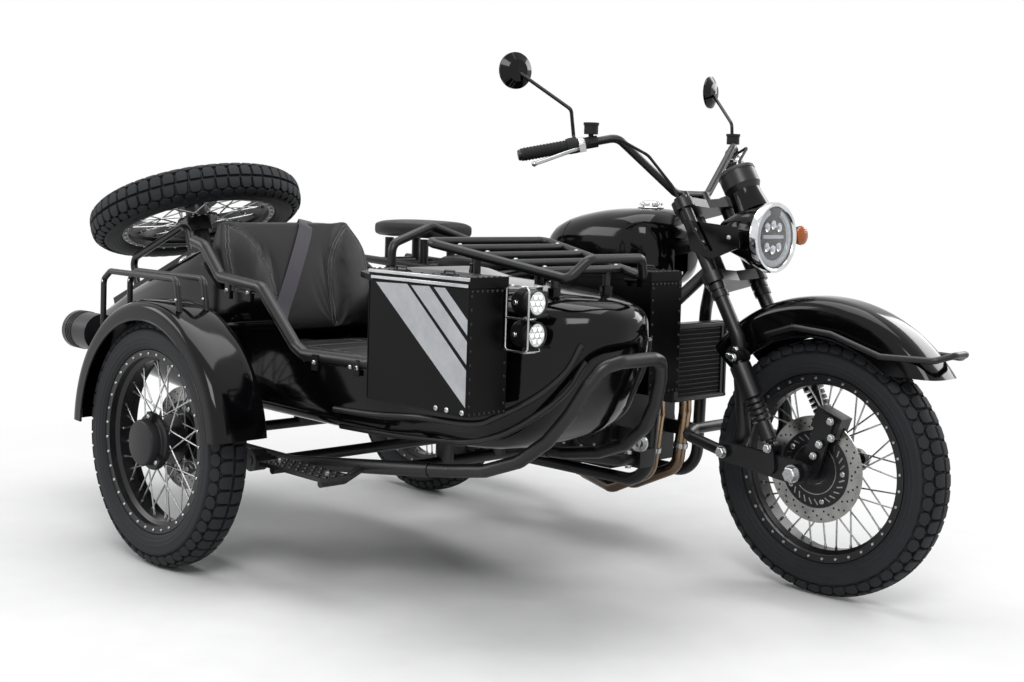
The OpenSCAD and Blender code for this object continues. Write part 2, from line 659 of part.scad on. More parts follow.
module headlamp() color(black) at_origin() {
  aim([lamp_x, 0, lamp_z], [-1, 0, 0]) rotate_extrude()
    polygon([[0, 14], [lamp_r - 9, 14], [lamp_r - 9, 0], [lamp_r, 0],
    [lamp_r, 18], [lamp_r - 6, 42], [lamp_r - 24, 86], [lamp_r - 52, 112], [0, 118]]);
  loft(smooth(cowl_rows, 2), 32);
  aim(gauge_at, gauge_axis) rotate_extrude()
    polygon([[0, neck_top], [gauge_r - 8, neck_top], [gauge_r - 7, -40],
    [gauge_r - 1, -84], [0, -84]]);
  both_sides() {
    translate([0, fork_y + fork_d / 2 + seat_gap + 4, 0]) rotate([90, 0, 0]) linear_extrude(4)
      polygon([[1165, 952], [1345, 938], [1352, 885], [1262, 850], [1192, 868]]);
    rod([1330, 60, lamp_z], [1330, fork_y + fork_d / 2 + 2, lamp_z], 40);
  }
}

module headlamp_lens() color(clear) at_origin() aim([lamp_x, 0, lamp_z], [-1, 0, 0]) rotate_extrude()
  polygon([[0, -10], [lamp_r * 0.5, -7], [lamp_r - 9 - seat_gap, 0], [lamp_r - 9 - seat_gap, 14 - seat_gap],
    [0, 14 - seat_gap]]);

module gauge() color(satin) at_origin() aim(gauge_at, gauge_axis) rotate_extrude() polygon([
  [0, neck_top + seat_gap], [gauge_r - 8, neck_top + seat_gap], [gauge_r, -8],
  [gauge_r, 34], [gauge_r - 5, 38], [0, 38]]);

module handlebar() color(satin) at_origin() {
  tube(concat([for (p = bar_path) p], [for (i = [len(bar_path) - 1:-1:0]) [bar_path[i][0], -bar_path[i][1],
    bar_path[i][2]]]), bar_d, 40);
  both_sides() rod(on_steer(-14 - seat_gap, 29, 45), on_steer(-50, 29, 45), 30);
}

module hand_controls() color(rubber) at_origin() both_sides() {
  difference() {
    union() {
      rod(grip_in + grip_dir * 21, bar_path[0] + grip_dir * 3, 34);
      rod(grip_in, grip_in + grip_dir * 22, 44);
      rod(grip_in - grip_dir * perch_len, grip_in + grip_dir, 32);
      rod(cup_at + [0, 0, 13], cup_at + [0, 0, 24], 14);
      rod(cup_at + [0, 0, 22], cup_at + [0, 0, 48], 38);
      rod(cup_at + [0, 0, 46], cup_at + [0, 0, 53], 42);
    }
    rod(grip_in - grip_dir * (perch_len + 1), bar_path[0] + grip_dir * seat_gap, bar_d + 2 * seat_gap);
  }
  rod(grip_in + grip_dir * 8 + [20, 0, -8], bar_path[0] + [62, 6, -22], 10);
  tube(cable_path, cable_d, 45);
  rod([cable_clip[0], fork_y + fork_d / 2 + 4 + 2 * seat_gap, cable_clip[2]], cable_clip, 10);
}

module mirrors() color(black) at_origin() both_sides() {
  a = grip_in + grip_dir * 10;
  tube([a + [0, 0, 23.4], a + [-8, 4, 96], mirror_at], 10, 20);
  aim(mirror_at, unit([-0.97, -0.24, 0])) rotate_extrude()
    polygon([[0, -14], [mirror_r * 0.6, -10], [mirror_r, 2],
    [mirror_r, 8], [0, 8]]);
}

module front_tyre() at_origin() at_wheel(front_axle) tyre();
module front_wheel() at_origin() at_wheel(front_axle) wire_wheel(hub_len);
module front_disc() at_origin() at_wheel(front_axle) brake_disc(58);
module rear_tyre() at_origin() at_wheel(rear_axle) tyre();
module rear_wheel() at_origin() at_wheel(rear_axle) wire_wheel(rear_hub_len);
module rear_disc() at_origin() at_wheel(rear_axle) {
  brake_disc(chain_y);
  color(steel) translate([0, 0, -chain_y]) difference() {
    cylinder(r = chainwheel_r, h = 7, center = true);
    cylinder(r = hub_flange_r * 0.55 + seat_gap, h = 8, center = true);
  }
}
module sidecar_tyre() at_origin() at_wheel(side_axle) tyre();
module sidecar_wheel() at_origin() at_wheel(side_axle) {
  wire_wheel(hub_len);
  color(satin) translate([0, 0, 40]) cylinder(r = 42, h = 34);
}
module sidecar_disc() at_origin() at_wheel(side_axle) brake_disc(-58);

module sidecar_arm() {
  difference() {
    union() {
      rod([520, -side_arm_y, 300], [wheel_lead, -side_arm_y, tyre_r], 36);
      rod([520, -side_arm_y - 20, 300], [520, -side_arm_y + 20, 300], 56);
      rod([wheel_lead, -side_arm_y - 20, tyre_r], [wheel_lead, -side_arm_y + 20, tyre_r], 56);
      rod([330, -side_arm_y, 340], [330, -side_arm_y, 360], 24);
    }
    rod([520, -1200, 300], [520, -900, 300], 26 + 2 * run_gap);
    rod([330, -side_arm_y - 13.3, 372], [330, -side_arm_y + 13.3, 372], 35);
  }
  rod([wheel_lead, -side_arm_y, tyre_r], [wheel_lead, -track - 30, tyre_r], axle_d);
}

module sidecar_chassis() color(satin) at_origin() {
  both_sides(-body_y) {
    tube(rail_path, chassis_d, 100);
    for (x = [110, 960])
      rod([x, -body_y - 90, x == 110 ? 300 : 335], [x, -body_y - 90, body_low - seat_gap], 46);
  }
  for (x = [110, 560, 960]) let (z = x == 960 ? 335 : 300, h = x == 960 ? 225 : 295)
    rod([x, -body_y - h, z], [x, -body_y + h, z], 30);
  rod([520, -body_y - 290, 300], [520, -side_arm_y - 22, 300], 26);
  tube([[230, -body_y - 295, 300], [230, -side_arm_y, 385], [262, -side_arm_y, 640]], 26, 40);
  rod([262, -side_arm_y, 640], [283 - seat_gap, -side_arm_y, 640], 20);
  for (x = step_post_x)
    tube([[x, rail_y(x), rail_z_at(x)],
      [x, -body_y - 312, step_z - 10], [x, -body_y - 384, step_z - 10]], 20, 24);
  for (m = strut_ends) tube([m[4], [m[0], m[1] - 60, m[2]], [m[0], m[1] - seat_gap, m[2]]], 30, 40);
}

module bumper() color(satin) at_origin() tube(concat([for (p = bumper_path) [p[0], -body_y - p[1], p[2]]],
  [for (i = [len(bumper_path) - 1:-1:0])
    [bumper_path[i][0], -body_y + bumper_path[i][1], bumper_path[i][2]]]), bumper_d, 45);

module at_seat_back() translate([seat_foot[0], 0, seat_foot[1]]) rotate([0, -90 - seat_lean, 0]) children();

module sidecar_body() color(black) at_origin() translate([0, -body_y, 0]) {
  difference() {
    union() {
      loft(hull_rows(body_rows), 32);
      boot_rim();
    }
    loft(hull_rows([for (r = body_rows) if (r[0] > 0 && r[0] < 1420)
      [r[0] < 100 ? 82 : r[0], r[1] - wall, r[2] + wall, r[3] - wall, r[4]]]), 32);
    loft([for (r = body_rows) if (r[0] < 60)
      [max(r[0], -540), r[1] - wall, r[2] + wall, r[3] - wall, r[4]]], 32);
    translate([0, -body_half + 80, 0]) rotate([90, 0, 0]) linear_extrude(100) polygon(entry_right);
    translate([0, 400, 0]) rotate([90, 0, 0]) linear_extrude(700) polygon(entry_left);
    in_lid_frame() translate([lid_from + rim_edge, rim_edge - lid_half, -60])
      cube([lid_to - lid_from - 2 * rim_edge, 2 * (lid_half - rim_edge), 120]);
  }
  translate([100, -205, body_low + 4]) cube([seat_to - 110, 410, seat_z - seat_gap - body_low - 4]);
  at_seat_back() translate([-78, -200, seat_back_t + seat_gap]) cube([310, 400, 12]);
  both_sides() {
    hinge_lugs();
    for (x = box_post_x)
      rod([x, 215 - (x - 1050) * 0.12, box_post_z], [x, box_in - seat_gap, box_post_z], 28);
    for (f = concat([hoop_foot], rack_feet)) rod([f[0], f[1], f[2] - 25], f, 30);
  }
  rod([lamp_lug[0], -150, lamp_lug[2]], [lamp_lug[0], -lamp_lug[1], lamp_lug[2]], 16);
}

module in_lid_frame() translate([hinge_x, 0, hinge_z]) rotate([0, -boot_slope, 0]) children();

// Flat rim round the boot opening, which carries the lid
module boot_rim() in_lid_frame() translate([lid_from, -lid_half, lid_low - seat_gap - 34])
  cube([lid_to - lid_from, 2 * lid_half, 34]);

// Two lugs with a pin between them, on the rear edge of the boot
module hinge_lugs() {
  for (y = [hinge_y - 20, hinge_y + 20]) {
    translate([hinge_x - 9, y - 4, hinge_z - 22]) cube([18, 8, 22]);
    rod([hinge_x, y - 4, hinge_z], [hinge_x, y + 4, hinge_z], 18);
  }
  rod([hinge_x, hinge_y - 18, hinge_z], [hinge_x, hinge_y + 18, hinge_z], 8);
}

module seat_base() color(leather) at_origin() translate([0, -body_y, 0]) loft([
  [seat_from, 190, seat_z, seat_z + 62, 4], [seat_from + 50, 212, seat_z, seat_z + 74, 5],
  [seat_to - 60, 212, seat_z, seat_z + 80, 5], [seat_to, 190, seat_z, seat_z + 60, 4]]);

module seat_back() color(leather) at_origin() translate([0, -body_y, 0]) at_seat_back()
  loft([[0, 240, -40, 46, 4], [60, 264, -seat_back_t, seat_back_t, 5],
    [240, 268, -seat_back_t, seat_back_t, 5],
    [340, 236, -36, 36, 4]]);

module cockpit_rails() color(satin) at_origin() translate([0, -body_y, 0]) {
  tube([for (p = rim_path) [p[0], 6 - side_at(p[0]), p[1]]], rim_d, 38);
  for (p = [[300, 700], [400, 700], [700, 550], [840, 550]])
    translate([p[0] - 11, -side_at(p[0] - 11) - 6, p[1]])
    cube([22, 5.5, p[1] > 600 ? 46 : 40]);
  tube([hoop_foot + [0, 0, seat_gap], [800, 145, 872], [785, 0, 917], [800, -145, 872],
    [hoop_foot[0], -hoop_foot[1], hoop_foot[2] + seat_gap]], 22, 30);
}

module nose_rack() color(satin) at_origin() translate([0, -body_y, 0]) {
  both_sides() {
    tube([[rack_rear, 0, rack_z(rack_rear)], [rack_rear, rack_half(rack_rear), rack_z(rack_rear)],
      [rack_front, rack_half(rack_front), rack_z(rack_front)],
      [rack_front + 26, rack_half(rack_front) - 40, rack_z(rack_front) + 46],
      [rack_front + 26, 0, rack_z(rack_front) + 46]], rack_d, 24);
    for (f = rack_feet) rod([f[0], f[1], rack_z(f[0])], f + [0, 0, seat_gap], 18);
  }
  for (i = [1:4]) let (x = rack_rear + i * (rack_front - rack_rear) / 5)
    rod([x, -rack_half(x), rack_z(x)], [x, rack_half(x), rack_z(x)], rack_d - 2);
}

module side_box() {
  difference() {
    translate([box_x, -body_y - box_in - box_d, box_z]) cube([box_l, box_d, box_h]);
    translate([box_x + box_wall, -body_y - box_in - box_d + box_wall, box_z + box_wall])
      cube([box_l - 2 * box_wall, box_d - 2 * box_wall, box_h]);
  }
  for (x = box_hinge_x) {
    rod([x - 20, box_hinge_y, box_hinge_z], [x + 20, box_hinge_y, box_hinge_z], 6);
    for (e = [-20, 12]) {
      rod([x + e, box_hinge_y, box_hinge_z], [x + e + 8, box_hinge_y, box_hinge_z], 11);
      translate([x + e, box_hinge_y - box_hinge_out - 1, box_hinge_z - 14]) cube([8, box_hinge_out + 4, 13]);
    }
  }
}
module side_lid() difference() {
  union() {
    difference() {
      translate([box_x, -body_y - box_in - box_d, box_z + box_h + lid_gap]) cube([box_l, box_d, lid_h]);
      translate([box_x + box_wall, -body_y - box_in - box_d + box_wall, box_z + box_h])
        cube([box_l - 2 * box_wall, box_d - 2 * box_wall, lid_h + lid_gap - box_wall]);
    }
    for (x = box_hinge_x) {
      rod([x - 11, box_hinge_y, box_hinge_z], [x + 11, box_hinge_y, box_hinge_z], 11);
      translate([x - 11, box_hinge_y - box_hinge_out - 1, box_hinge_z + lid_gap / 2])
        cube([22, box_hinge_out + 4, 12]);
    }
  }
  for (x = box_hinge_x)
    rod([x - 12, box_hinge_y, box_hinge_z], [x + 12, box_hinge_y, box_hinge_z], 6 + 2 * run_gap);
}
module box_right() color(black) at_origin() side_box();
module box_left() color(black) at_origin() translate([0, -2 * body_y, 0]) mirror([0, 1, 0]) side_box();
module box_lid_right() color(steel) at_origin() side_lid();
module box_lid_left() color(steel) at_origin() translate([0, -2 * body_y, 0]) mirror([0, 1, 0]) side_lid();

module spot_lamps() color(satin) at_origin() {
  for (z = [771, 700]) rod([1336, -body_y - lamp_lug[1] - 12, z], [1392, -body_y - lamp_lug[1] - 12, z], 54);
  translate([lamp_lug[0] - 12, -body_y - lamp_lug[1] - seat_gap - 12, 690]) cube([24, 12, 90]);
}

module sidecar_fender() color(black) at_origin() {
  translate(side_axle) mudguard(side_guard_r, 322, 22, side_guard_half, 5, 8, 178);
  for (x = [150, 430]) rod([x, -track + 76, 640], [x, -body_y - body_half - seat_gap, 640], 20);
}

module fender_rails() color(satin) at_origin() difference() {
  for (y = [-40, 40]) tube([[20, -track + y, 580], [20, -track + y, 740], [56, -track + y, 764],
    [398, -track + y, 764], [416, -track + y, 660]], 16, 22);
  at_wheel(side_axle) cylinder(r = side_guard_r + seat_gap, h = 200, center = true, $fn = 192);
}

module step_plate() color(satin) at_origin()
  translate([0, -body_y, step_z + seat_gap]) linear_extrude(10)
    polygon([[612, -320], [880, -320], [880, -396], [868, -404], [612, -404]]);

module boot_lid() color(black) at_origin() at_lid() difference() {
  union() {
    translate([lid_from, -lid_half, lid_low]) cube([lid_to - lid_from, 2 * lid_half, lid_t]);
    both_sides() {
      rod([0, hinge_y - 14, 0], [0, hinge_y + 14, 0], 18);
      translate([0, hinge_y - 14, lid_low + 4]) cube([lid_from + 1, 28, 8]);
    }
  }
  both_sides() rod([0, hinge_y - 16, 0], [0, hinge_y + 16, 0], 8 + 2 * run_gap);
}

module spare_carrier() color(satin) at_origin() at_lid() {
  top = lid_low + lid_t + seat_gap;
  both_sides() tube([[60, 150, top], [60, 150, 120], [400, 150, 120], [400, 150, top]], 22, 30);
  rod([spare_u, -150, 120], [spare_u, 150, 120], 18);
  rod([spare_u, 0, 108], [spare_u, 0, spare_w - hub_len / 2 - seat_gap], 50);
  rod([spare_u, 0, 112], [spare_u, 0, spare_w + hub_len / 2 + 12], axle_d);
}
module spare_tyre() at_origin() at_spare() tyre();
module spare_wheel() at_origin() at_spare() wire_wheel(hub_len);

bike_frame();
engine();
radiator();
exhaust();
fuel_tank();
filler_cap();
rider_seat();
pillion_seat();
rear_fender();
rear_lamps();
swingarms();
shocks();
drive_chain();
side_covers();
fork();
leading_arms();
front_shocks();
front_fender();
fender_guard();
front_brake();
headlamp();
headlamp_lens();
gauge();
handlebar();
hand_controls();
mirrors();
front_tyre();
front_wheel();
front_disc();
rear_tyre();
rear_wheel();
rear_disc();
sidecar_tyre();
sidecar_wheel();
sidecar_disc();
sidecar_chassis();
bumper();
sidecar_body();
seat_back();
seat_base();
cockpit_rails();
nose_rack();
box_right();
box_left();
box_lid_right();
box_lid_left();
spot_lamps();
sidecar_fender();
fender_rails();
step_plate();
boot_lid();
spare_carrier();
spare_tyre();
spare_wheel();
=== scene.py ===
"""Looks of the motorcycle with its sidecar: finishes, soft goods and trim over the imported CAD."""
import math

import bmesh
import bpy
import numpy as np
from mathutils import Matrix, Vector
from mathutils.bvhtree import BVHTree
from mathutils.kdtree import KDTree


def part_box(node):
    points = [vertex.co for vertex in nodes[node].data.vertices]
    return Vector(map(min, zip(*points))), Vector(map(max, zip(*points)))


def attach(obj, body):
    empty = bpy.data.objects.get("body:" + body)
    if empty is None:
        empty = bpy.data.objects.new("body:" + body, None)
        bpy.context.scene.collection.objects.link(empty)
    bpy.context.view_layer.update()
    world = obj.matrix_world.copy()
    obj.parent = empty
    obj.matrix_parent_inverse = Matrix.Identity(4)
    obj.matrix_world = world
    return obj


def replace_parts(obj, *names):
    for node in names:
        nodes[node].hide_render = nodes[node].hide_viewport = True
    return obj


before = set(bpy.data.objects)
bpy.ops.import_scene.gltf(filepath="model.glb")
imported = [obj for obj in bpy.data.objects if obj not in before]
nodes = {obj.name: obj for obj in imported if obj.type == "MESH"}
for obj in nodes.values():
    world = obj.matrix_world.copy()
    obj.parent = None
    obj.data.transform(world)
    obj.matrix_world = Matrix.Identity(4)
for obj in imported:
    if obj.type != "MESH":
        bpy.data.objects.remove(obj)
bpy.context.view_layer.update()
scene = bpy.context.scene


def middle(node):
    low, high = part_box(node)
    return (low + high) * 500


# Places are millimetres from the rear axle and the motorcycle's mid-plane, as in the source.
rear_hub = middle("rear_tyre")
ORIGIN = Vector((-rear_hub.x, -rear_hub.y, 0))


def centre(node):
    return middle(node) + ORIGIN


AXIS_X, AXIS_Y, AXIS_Z = Vector((1, 0, 0)), Vector((0, 1, 0)), Vector((0, 0, 1))
RIGHT = -AXIS_Y
BODY_Y = -690
TYRE_R, BEAD_R, TYRE_W = 331, 228, 112
BOOT_SLOPE = math.radians(21.5)


# Materials

def linear(code):
    parts = [int(code[i:i + 2], 16) / 255 for i in (1, 3, 5)]
    return [c / 12.92 if c <= 0.04045 else ((c + 0.055) / 1.055) ** 2.4 for c in parts] + [1.0]


def add(tree, kind, values=None, links=None, **settings):
    node = tree.nodes.new(kind)
    for key, value in settings.items():
        setattr(node, key, value)
    for key, value in (values or {}).items():
        node.inputs[key].default_value = value
    for key, source in (links or {}).items():
        tree.links.new(source, node.inputs[key])
    return node


def ramp(tree, source, stops):
    node = add(tree, "ShaderNodeValToRGB", links={"Fac": source})
    elements = node.color_ramp.elements
    while len(elements) < len(stops):
        elements.new(0.5)
    for element, (place, code) in zip(elements, stops):
        element.position = place
        element.color = linear(code)
    return node.outputs["Color"]


def spread(tree, source, low, high, start=0.3, end=0.7):
    return add(tree, "ShaderNodeMapRange",
               {"From Min": start, "From Max": end, "To Min": low, "To Max": high},
               {"Value": source}).outputs["Result"]


def finish(name, dark, light, grain, rough, bump=0.0, metal=0.0, stretch=(1, 1, 1), **sockets):
    """A surface whose tone and roughness drift over a grain of that many millimetres, with relief."""
    material = bpy.data.materials.new(name)
    material.use_nodes = True
    tree = material.node_tree
    shader = tree.nodes["Principled BSDF"]
    where = add(tree, "ShaderNodeTexCoord").outputs["Object"]
    place = add(tree, "ShaderNodeMapping", {"Scale": stretch}, {"Vector": where}).outputs["Vector"]
    fine = add(tree, "ShaderNodeTexNoise", {"Scale": 1000 / grain, "Detail": 5.0},
               {"Vector": place}).outputs["Fac"]
    broad = add(tree, "ShaderNodeTexNoise", {"Scale": 9.0, "Detail": 3.0}, {"Vector": where}).outputs["Fac"]
    mixed = add(tree, "ShaderNodeMath", {1: 0.5},
                {0: add(tree, "ShaderNodeMath", None, {0: fine, 1: broad}).outputs[0]},
                operation="MULTIPLY").outputs[0]
    tree.links.new(ramp(tree, mixed, [(0.35, dark), (0.65, light)]), shader.inputs["Base Color"])
    tree.links.new(spread(tree, mixed, *rough), shader.inputs["Roughness"])
    shader.inputs["Metallic"].default_value = metal
    for key, value in sockets.items():
        shader.inputs[key.replace("_", " ")].default_value = value
    if bump:
        relief(tree, shader, fine, bump)
    return material


def relief(tree, shader, height, depth):
    bump = add(tree, "ShaderNodeBump", {"Distance": depth / 1000, "Strength": 1.0}, {"Height": height})
    tree.links.new(bump.outputs["Normal"], shader.inputs["Normal"])


def parts_of(material):
    tree = material.node_tree
    return tree, tree.nodes["Principled BSDF"], add(tree, "ShaderNodeTexCoord").outputs["Object"]


def gloss_paint():
    """Deep black lacquer with a faint orange peel: the body stays dark and the lamps show crisply."""
    return finish("black_lacquer", "#040405", "#08080a", 5, (0.07, 0.13), 0.006, Specular_IOR_Level=0.24)


def satin_coat():
    """Powder coat on tubes: fine pebble that breaks up the highlights."""
    return finish("black_powder_coat", "#0d0d0f", "#151518", 1.6, (0.30, 0.42), 0.02,
                  Specular_IOR_Level=0.4)


def cast_black():
    """Painted castings: coarser sand grain than the powder coat."""
    return finish("painted_casting", "#121214", "#1d1d20", 1.2, (0.42, 0.56), 0.06, 0.2,
                  Specular_IOR_Level=0.4)


def rubber(name, dark, light):
    """Dry rubber with dust in its pores."""
    return finish(name, dark, light, 2.4, (0.62, 0.82), 0.05, Specular_IOR_Level=0.35)


def leather():
    """Grained hide: small cells with creases between them."""
    material = finish("grained_leather", "#08080a", "#101013", 22, (0.38, 0.5), Specular_IOR_Level=0.26)
    tree, shader, where = parts_of(material)
    cells = add(tree, "ShaderNodeTexVoronoi", {"Scale": 1000 / 1.9, "Randomness": 1.0}, {"Vector": where},
                feature="DISTANCE_TO_EDGE").outputs["Distance"]
    relief(tree, shader, spread(tree, cells, 0.0, 1.0, 0.0, 0.22), 0.12)
    return material


def webbing():
    """Woven seat-belt tape with a diagonal rib."""
    material = finish("belt_webbing", "#2a2730", "#38343f", 4, (0.6, 0.75), Sheen_Weight=0.3)
    tree, shader, where = parts_of(material)
    rib = add(tree, "ShaderNodeTexWave", {"Scale": 130.0, "Distortion": 0.4}, {"Vector": where},
              bands_direction="DIAGONAL").outputs["Fac"]
    relief(tree, shader, rib, 0.25)
    return material


def thread():
    """Light grey sewing thread."""
    return finish("sewing_thread", "#7c7a78", "#a3a09c", 0.8, (0.6, 0.8), 0.05)


def turned_steel():
    """Ground brake steel with rings left by the wheel."""
    material = finish("ground_steel", "#8d8d8c", "#b4b3b1", 30, (0.24, 0.36), metal=1.0)
    tree, shader, where = parts_of(material)
    rings = add(tree, "ShaderNodeTexNoise", {"Scale": 700.0, "Detail": 3.0},
                {"Vector": where}).outputs["Fac"]
    relief(tree, shader, rings, 0.012)
    return material


def chrome():
    """Bright plated metal, a little uneven."""
    return finish("bright_plate", "#c9cacb", "#e2e3e4", 40, (0.07, 0.14), 0.004, 1.0)


def zinc():
    """Plated fasteners and spokes, duller than chrome."""
    return finish("plated_steel", "#9a9b9c", "#c3c4c4", 6, (0.22, 0.36), 0.01, 1.0)


def header_steel():
    """Stainless pipe tinted by heat from straw to bronze, and dark on the silencer behind it."""
    material = finish("heat_tinted_steel", "#6f5a48", "#a08a72", 70, (0.2, 0.34), 0.006, 1.0)
    tree, shader, where = parts_of(material)
    split = add(tree, "ShaderNodeSeparateXYZ", None, {"Vector": where}).outputs
    tint = ramp(tree, spread(tree, split["Z"], 0.0, 1.0, 0.15, 0.66),
                [(0.0, "#5c5048"), (0.35, "#8d7762"), (0.7, "#b09678"), (1.0, "#6d5a5e")])
    ahead = spread(tree, split["X"], 0.0, 1.0, -0.42, -0.36)
    both = add(tree, "ShaderNodeMix", {6: linear("#19191b")}, {0: ahead, 7: tint},
               data_type="RGBA").outputs[2]
    tree.links.new(both, shader.inputs["Base Color"])
    return material


def brushed_aluminium():
    """Extruded edge rail with lengthwise brush lines."""
    return finish("brushed_aluminium", "#a7a9aa", "#d4d6d7", 1.0, (0.2, 0.34), 0.01, 1.0, (0.03, 1, 1))


def box_metal():
    """Black anodised box sheet, finely textured."""
    return finish("anodised_sheet", "#030304", "#060607", 1.0, (0.26, 0.36), 0.012, Specular_IOR_Level=0.12)


def vinyl():
    """Light grey stripe film."""
    return finish("stripe_film", "#a3a5a9", "#b4b6ba", 20, (0.28, 0.4))


def glass(name, tint, rough):
    """Clear moulding that carries a tint."""
    return finish(name, tint, tint, 50, rough, Transmission_Weight=1.0, IOR=1.46)


def opal():
    """Pale light guide of the lamps, unlit."""
    return finish("opal_guide", "#c3c5c9", "#d6d8db", 30, (0.2, 0.3))


def led_white():
    """Lit diodes of the work lamps."""
    return finish("lit_diode", "#f2f3f4", "#ffffff", 30, (0.2, 0.3), Emission_Strength=0.8,
                  Emission_Color=(1.0, 1.0, 1.0, 1.0))


def smoked():
    """Dark moulded plastic behind the lamp's cover, with a soft shine."""
    return finish("smoked_plastic", "#101114", "#1b1c20", 6, (0.12, 0.22))


def lens_plastic(name, dark, light):
    """Moulded lens with fine prisms."""
    material = finish(name, dark, light, 8, (0.08, 0.16), Transmission_Weight=0.35, IOR=1.49)
    tree, shader, where = parts_of(material)
    prisms = add(tree, "ShaderNodeTexWave", {"Scale": 60.0}, {"Vector": where},
                 bands_direction="Z").outputs["Fac"]
    relief(tree, shader, prisms, 0.3)
    return material


def dial_face():
    """Matt dial card whose tone drifts a little at random."""
    return finish("dial_card", "#0b0b0d", "#15161a", 30, (0.4, 0.5))


PAINT, SATIN, CAST = gloss_paint(), satin_coat(), cast_black()
TYRE, GRIP = rubber("tyre_rubber", "#141517", "#212327"), rubber("grip_rubber", "#0c0c0d", "#151516")
LEATHER, THREAD, BELT = leather(), thread(), webbing()
DISC, CHROME, ZINC, HEADER = turned_steel(), chrome(), zinc(), header_steel()
RAIL, SHEET, STRIPE = brushed_aluminium(), box_metal(), vinyl()
GLASS, OPAL, DIODE = glass("lamp_glass", "#f6f8fa", (0.01, 0.03)), opal(), led_white()
SMOKED = smoked()
RED = lens_plastic("red_lens", "#5c0708", "#7d0d0d")
AMBER = lens_plastic("amber_lens", "#c25a08", "#e0770f")
DIAL = dial_face()

SLOT_LOOK = {
    "gloss_black": PAINT, "satin_black": SATIN, "engine_black": CAST, "chain_steel": ZINC,
    "header_steel": HEADER, "polished": CHROME, "red_lens": RED, "clear_lens": GLASS,
    "grip_rubber": GRIP, "lid_metal": SHEET,
    "disc_steel": DISC, "tyre_rubber": TYRE, "seat_leather": LEATHER,
}
NODE_LOOK = {"box_right": SHEET, "box_left": SHEET, "rear_lamps": SATIN}
SHELLS = {"fuel_tank": "chassis", "sidecar_body": "chassis", "rear_fender": "chassis",
          "sidecar_fender": "chassis", "boot_lid": "boot", "front_fender": "steering", "headlamp": "steering"}


def dress_cad():
    """Puts each finish on the solids that stay in view."""
    for name, obj in nodes.items():
        for slot in obj.material_slots:
            key = slot.material.name.split(".")[0] if slot.material else ""
            slot.material = NODE_LOOK.get(name) or SLOT_LOOK.get(key, SATIN)


# Mesh building

class Pile:
    """Points and faces of one piece, gathered in millimetres."""

    def __init__(self):
        self.points, self.faces = [], []

    def add(self, shape, place=None):
        points, faces = shape
        base = len(self.points)
        self.points += [place @ Vector(p) if place else Vector(p) for p in points]
        self.faces += [[i + base for i in face] for face in faces]
        return self

    def piece(self, name, body, material, sharp=35, bevel=0.0):
        mesh = bpy.data.meshes.new(name)
        mesh.from_pydata([(p - ORIGIN) / 1000 for p in self.points], [], self.faces)
        work = bmesh.new()
        work.from_mesh(mesh)
        bmesh.ops.remove_doubles(work, verts=work.verts, dist=1e-6)
        bmesh.ops.dissolve_degenerate(work, edges=work.edges, dist=1e-6)
        bmesh.ops.recalc_face_normals(work, faces=work.faces)
        work.to_mesh(mesh)
        work.free()
        return show(name, mesh, body, material, sharp, bevel)


def show(name, mesh, body, material, sharp=35, bevel=0.0):
    """Adds a mesh as a piece that rides a body."""
    mesh.materials.clear()
    mesh.materials.append(material)
    mesh.polygons.foreach_set("use_smooth", [True] * len(mesh.polygons))
    mesh.set_sharp_from_angle(angle=math.radians(sharp))
    obj = bpy.data.objects.new(name, mesh)
    scene.collection.objects.link(obj)
    if bevel:
        edge = obj.modifiers.new("edge", "BEVEL")
        edge.width = bevel / 1000
        edge.segments = 2
        edge.angle_limit = math.radians(30)
    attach(obj, body)
    return obj


def toward(point, direction, spin=0.0):
    """Place at a point, with its Z axis along a direction."""
    turn = Vector(direction).to_track_quat("Z", "Y").to_matrix().to_4x4()
    return Matrix.Translation(Vector(point)) @ turn @ Matrix.Rotation(spin, 4, "Z")


def lathe(profile, count=32):
    """A profile of radius and height turned round Z."""
    points = [(r * math.cos(a), r * math.sin(a), h)
              for a in (2 * math.pi * i / count for i in range(count)) for r, h in profile]
    m = len(profile)
    faces = [(i * m + k, (i + 1) % count * m + k, (i + 1) % count * m + k + 1, i * m + k + 1)
             for i in range(count) for k in range(m - 1)]
    return points, faces


def smooth_run(points, per):
    """Smooth line through points or rows, with that many steps between two of them."""
    ends = [2 * points[0] - points[1]] + points + [2 * points[-1] - points[-2]]
    run = []
    for a, b, c, d in zip(ends, ends[1:], ends[2:], ends[3:]):
        for i in range(per):
            t = i / per
            bend = (2 * a - 5 * b + 4 * c - d) * t * t
            run.append(0.5 * (2 * b + (c - a) * t + bend + (3 * b - a - 3 * c + d) * t ** 3))
    return run + [points[-1]]


def spline(points, per=8):
    return smooth_run([Vector(p) for p in points], per)


def sweep(path, outline, closed=False):
    """A flat outline carried along a path; its first axis stays as level as the path allows."""
    path = [Vector(p) for p in path]
    n, m = len(path), len(outline)
    points = []
    side = None
    for i, p in enumerate(path):
        ahead = (path[min(i + 1, n - 1)] - path[max(i - 1, 0)]).normalized()
        if side is None:
            side = ahead.cross(AXIS_Z if abs(ahead.z) < 0.9 else AXIS_X).normalized()
        side = (side - ahead * side.dot(ahead)).normalized()
        up = side.cross(ahead)
        points += [p + side * u + up * v for u, v in outline]
    faces = [(i * m + k, i * m + (k + 1) % m, (i + 1) * m + (k + 1) % m, (i + 1) * m + k)
             for i in range(n - 1) for k in range(m)]
    faces += [tuple(range(m))[::-1], tuple(range((n - 1) * m, n * m))]
    return points, faces


def ringlet(radius, count=10):
    return [(radius * math.cos(2 * math.pi * i / count), radius * math.sin(2 * math.pi * i / count))
            for i in range(count)]


def wire(path, radius, count=10):
    return sweep(path, ringlet(radius, count))


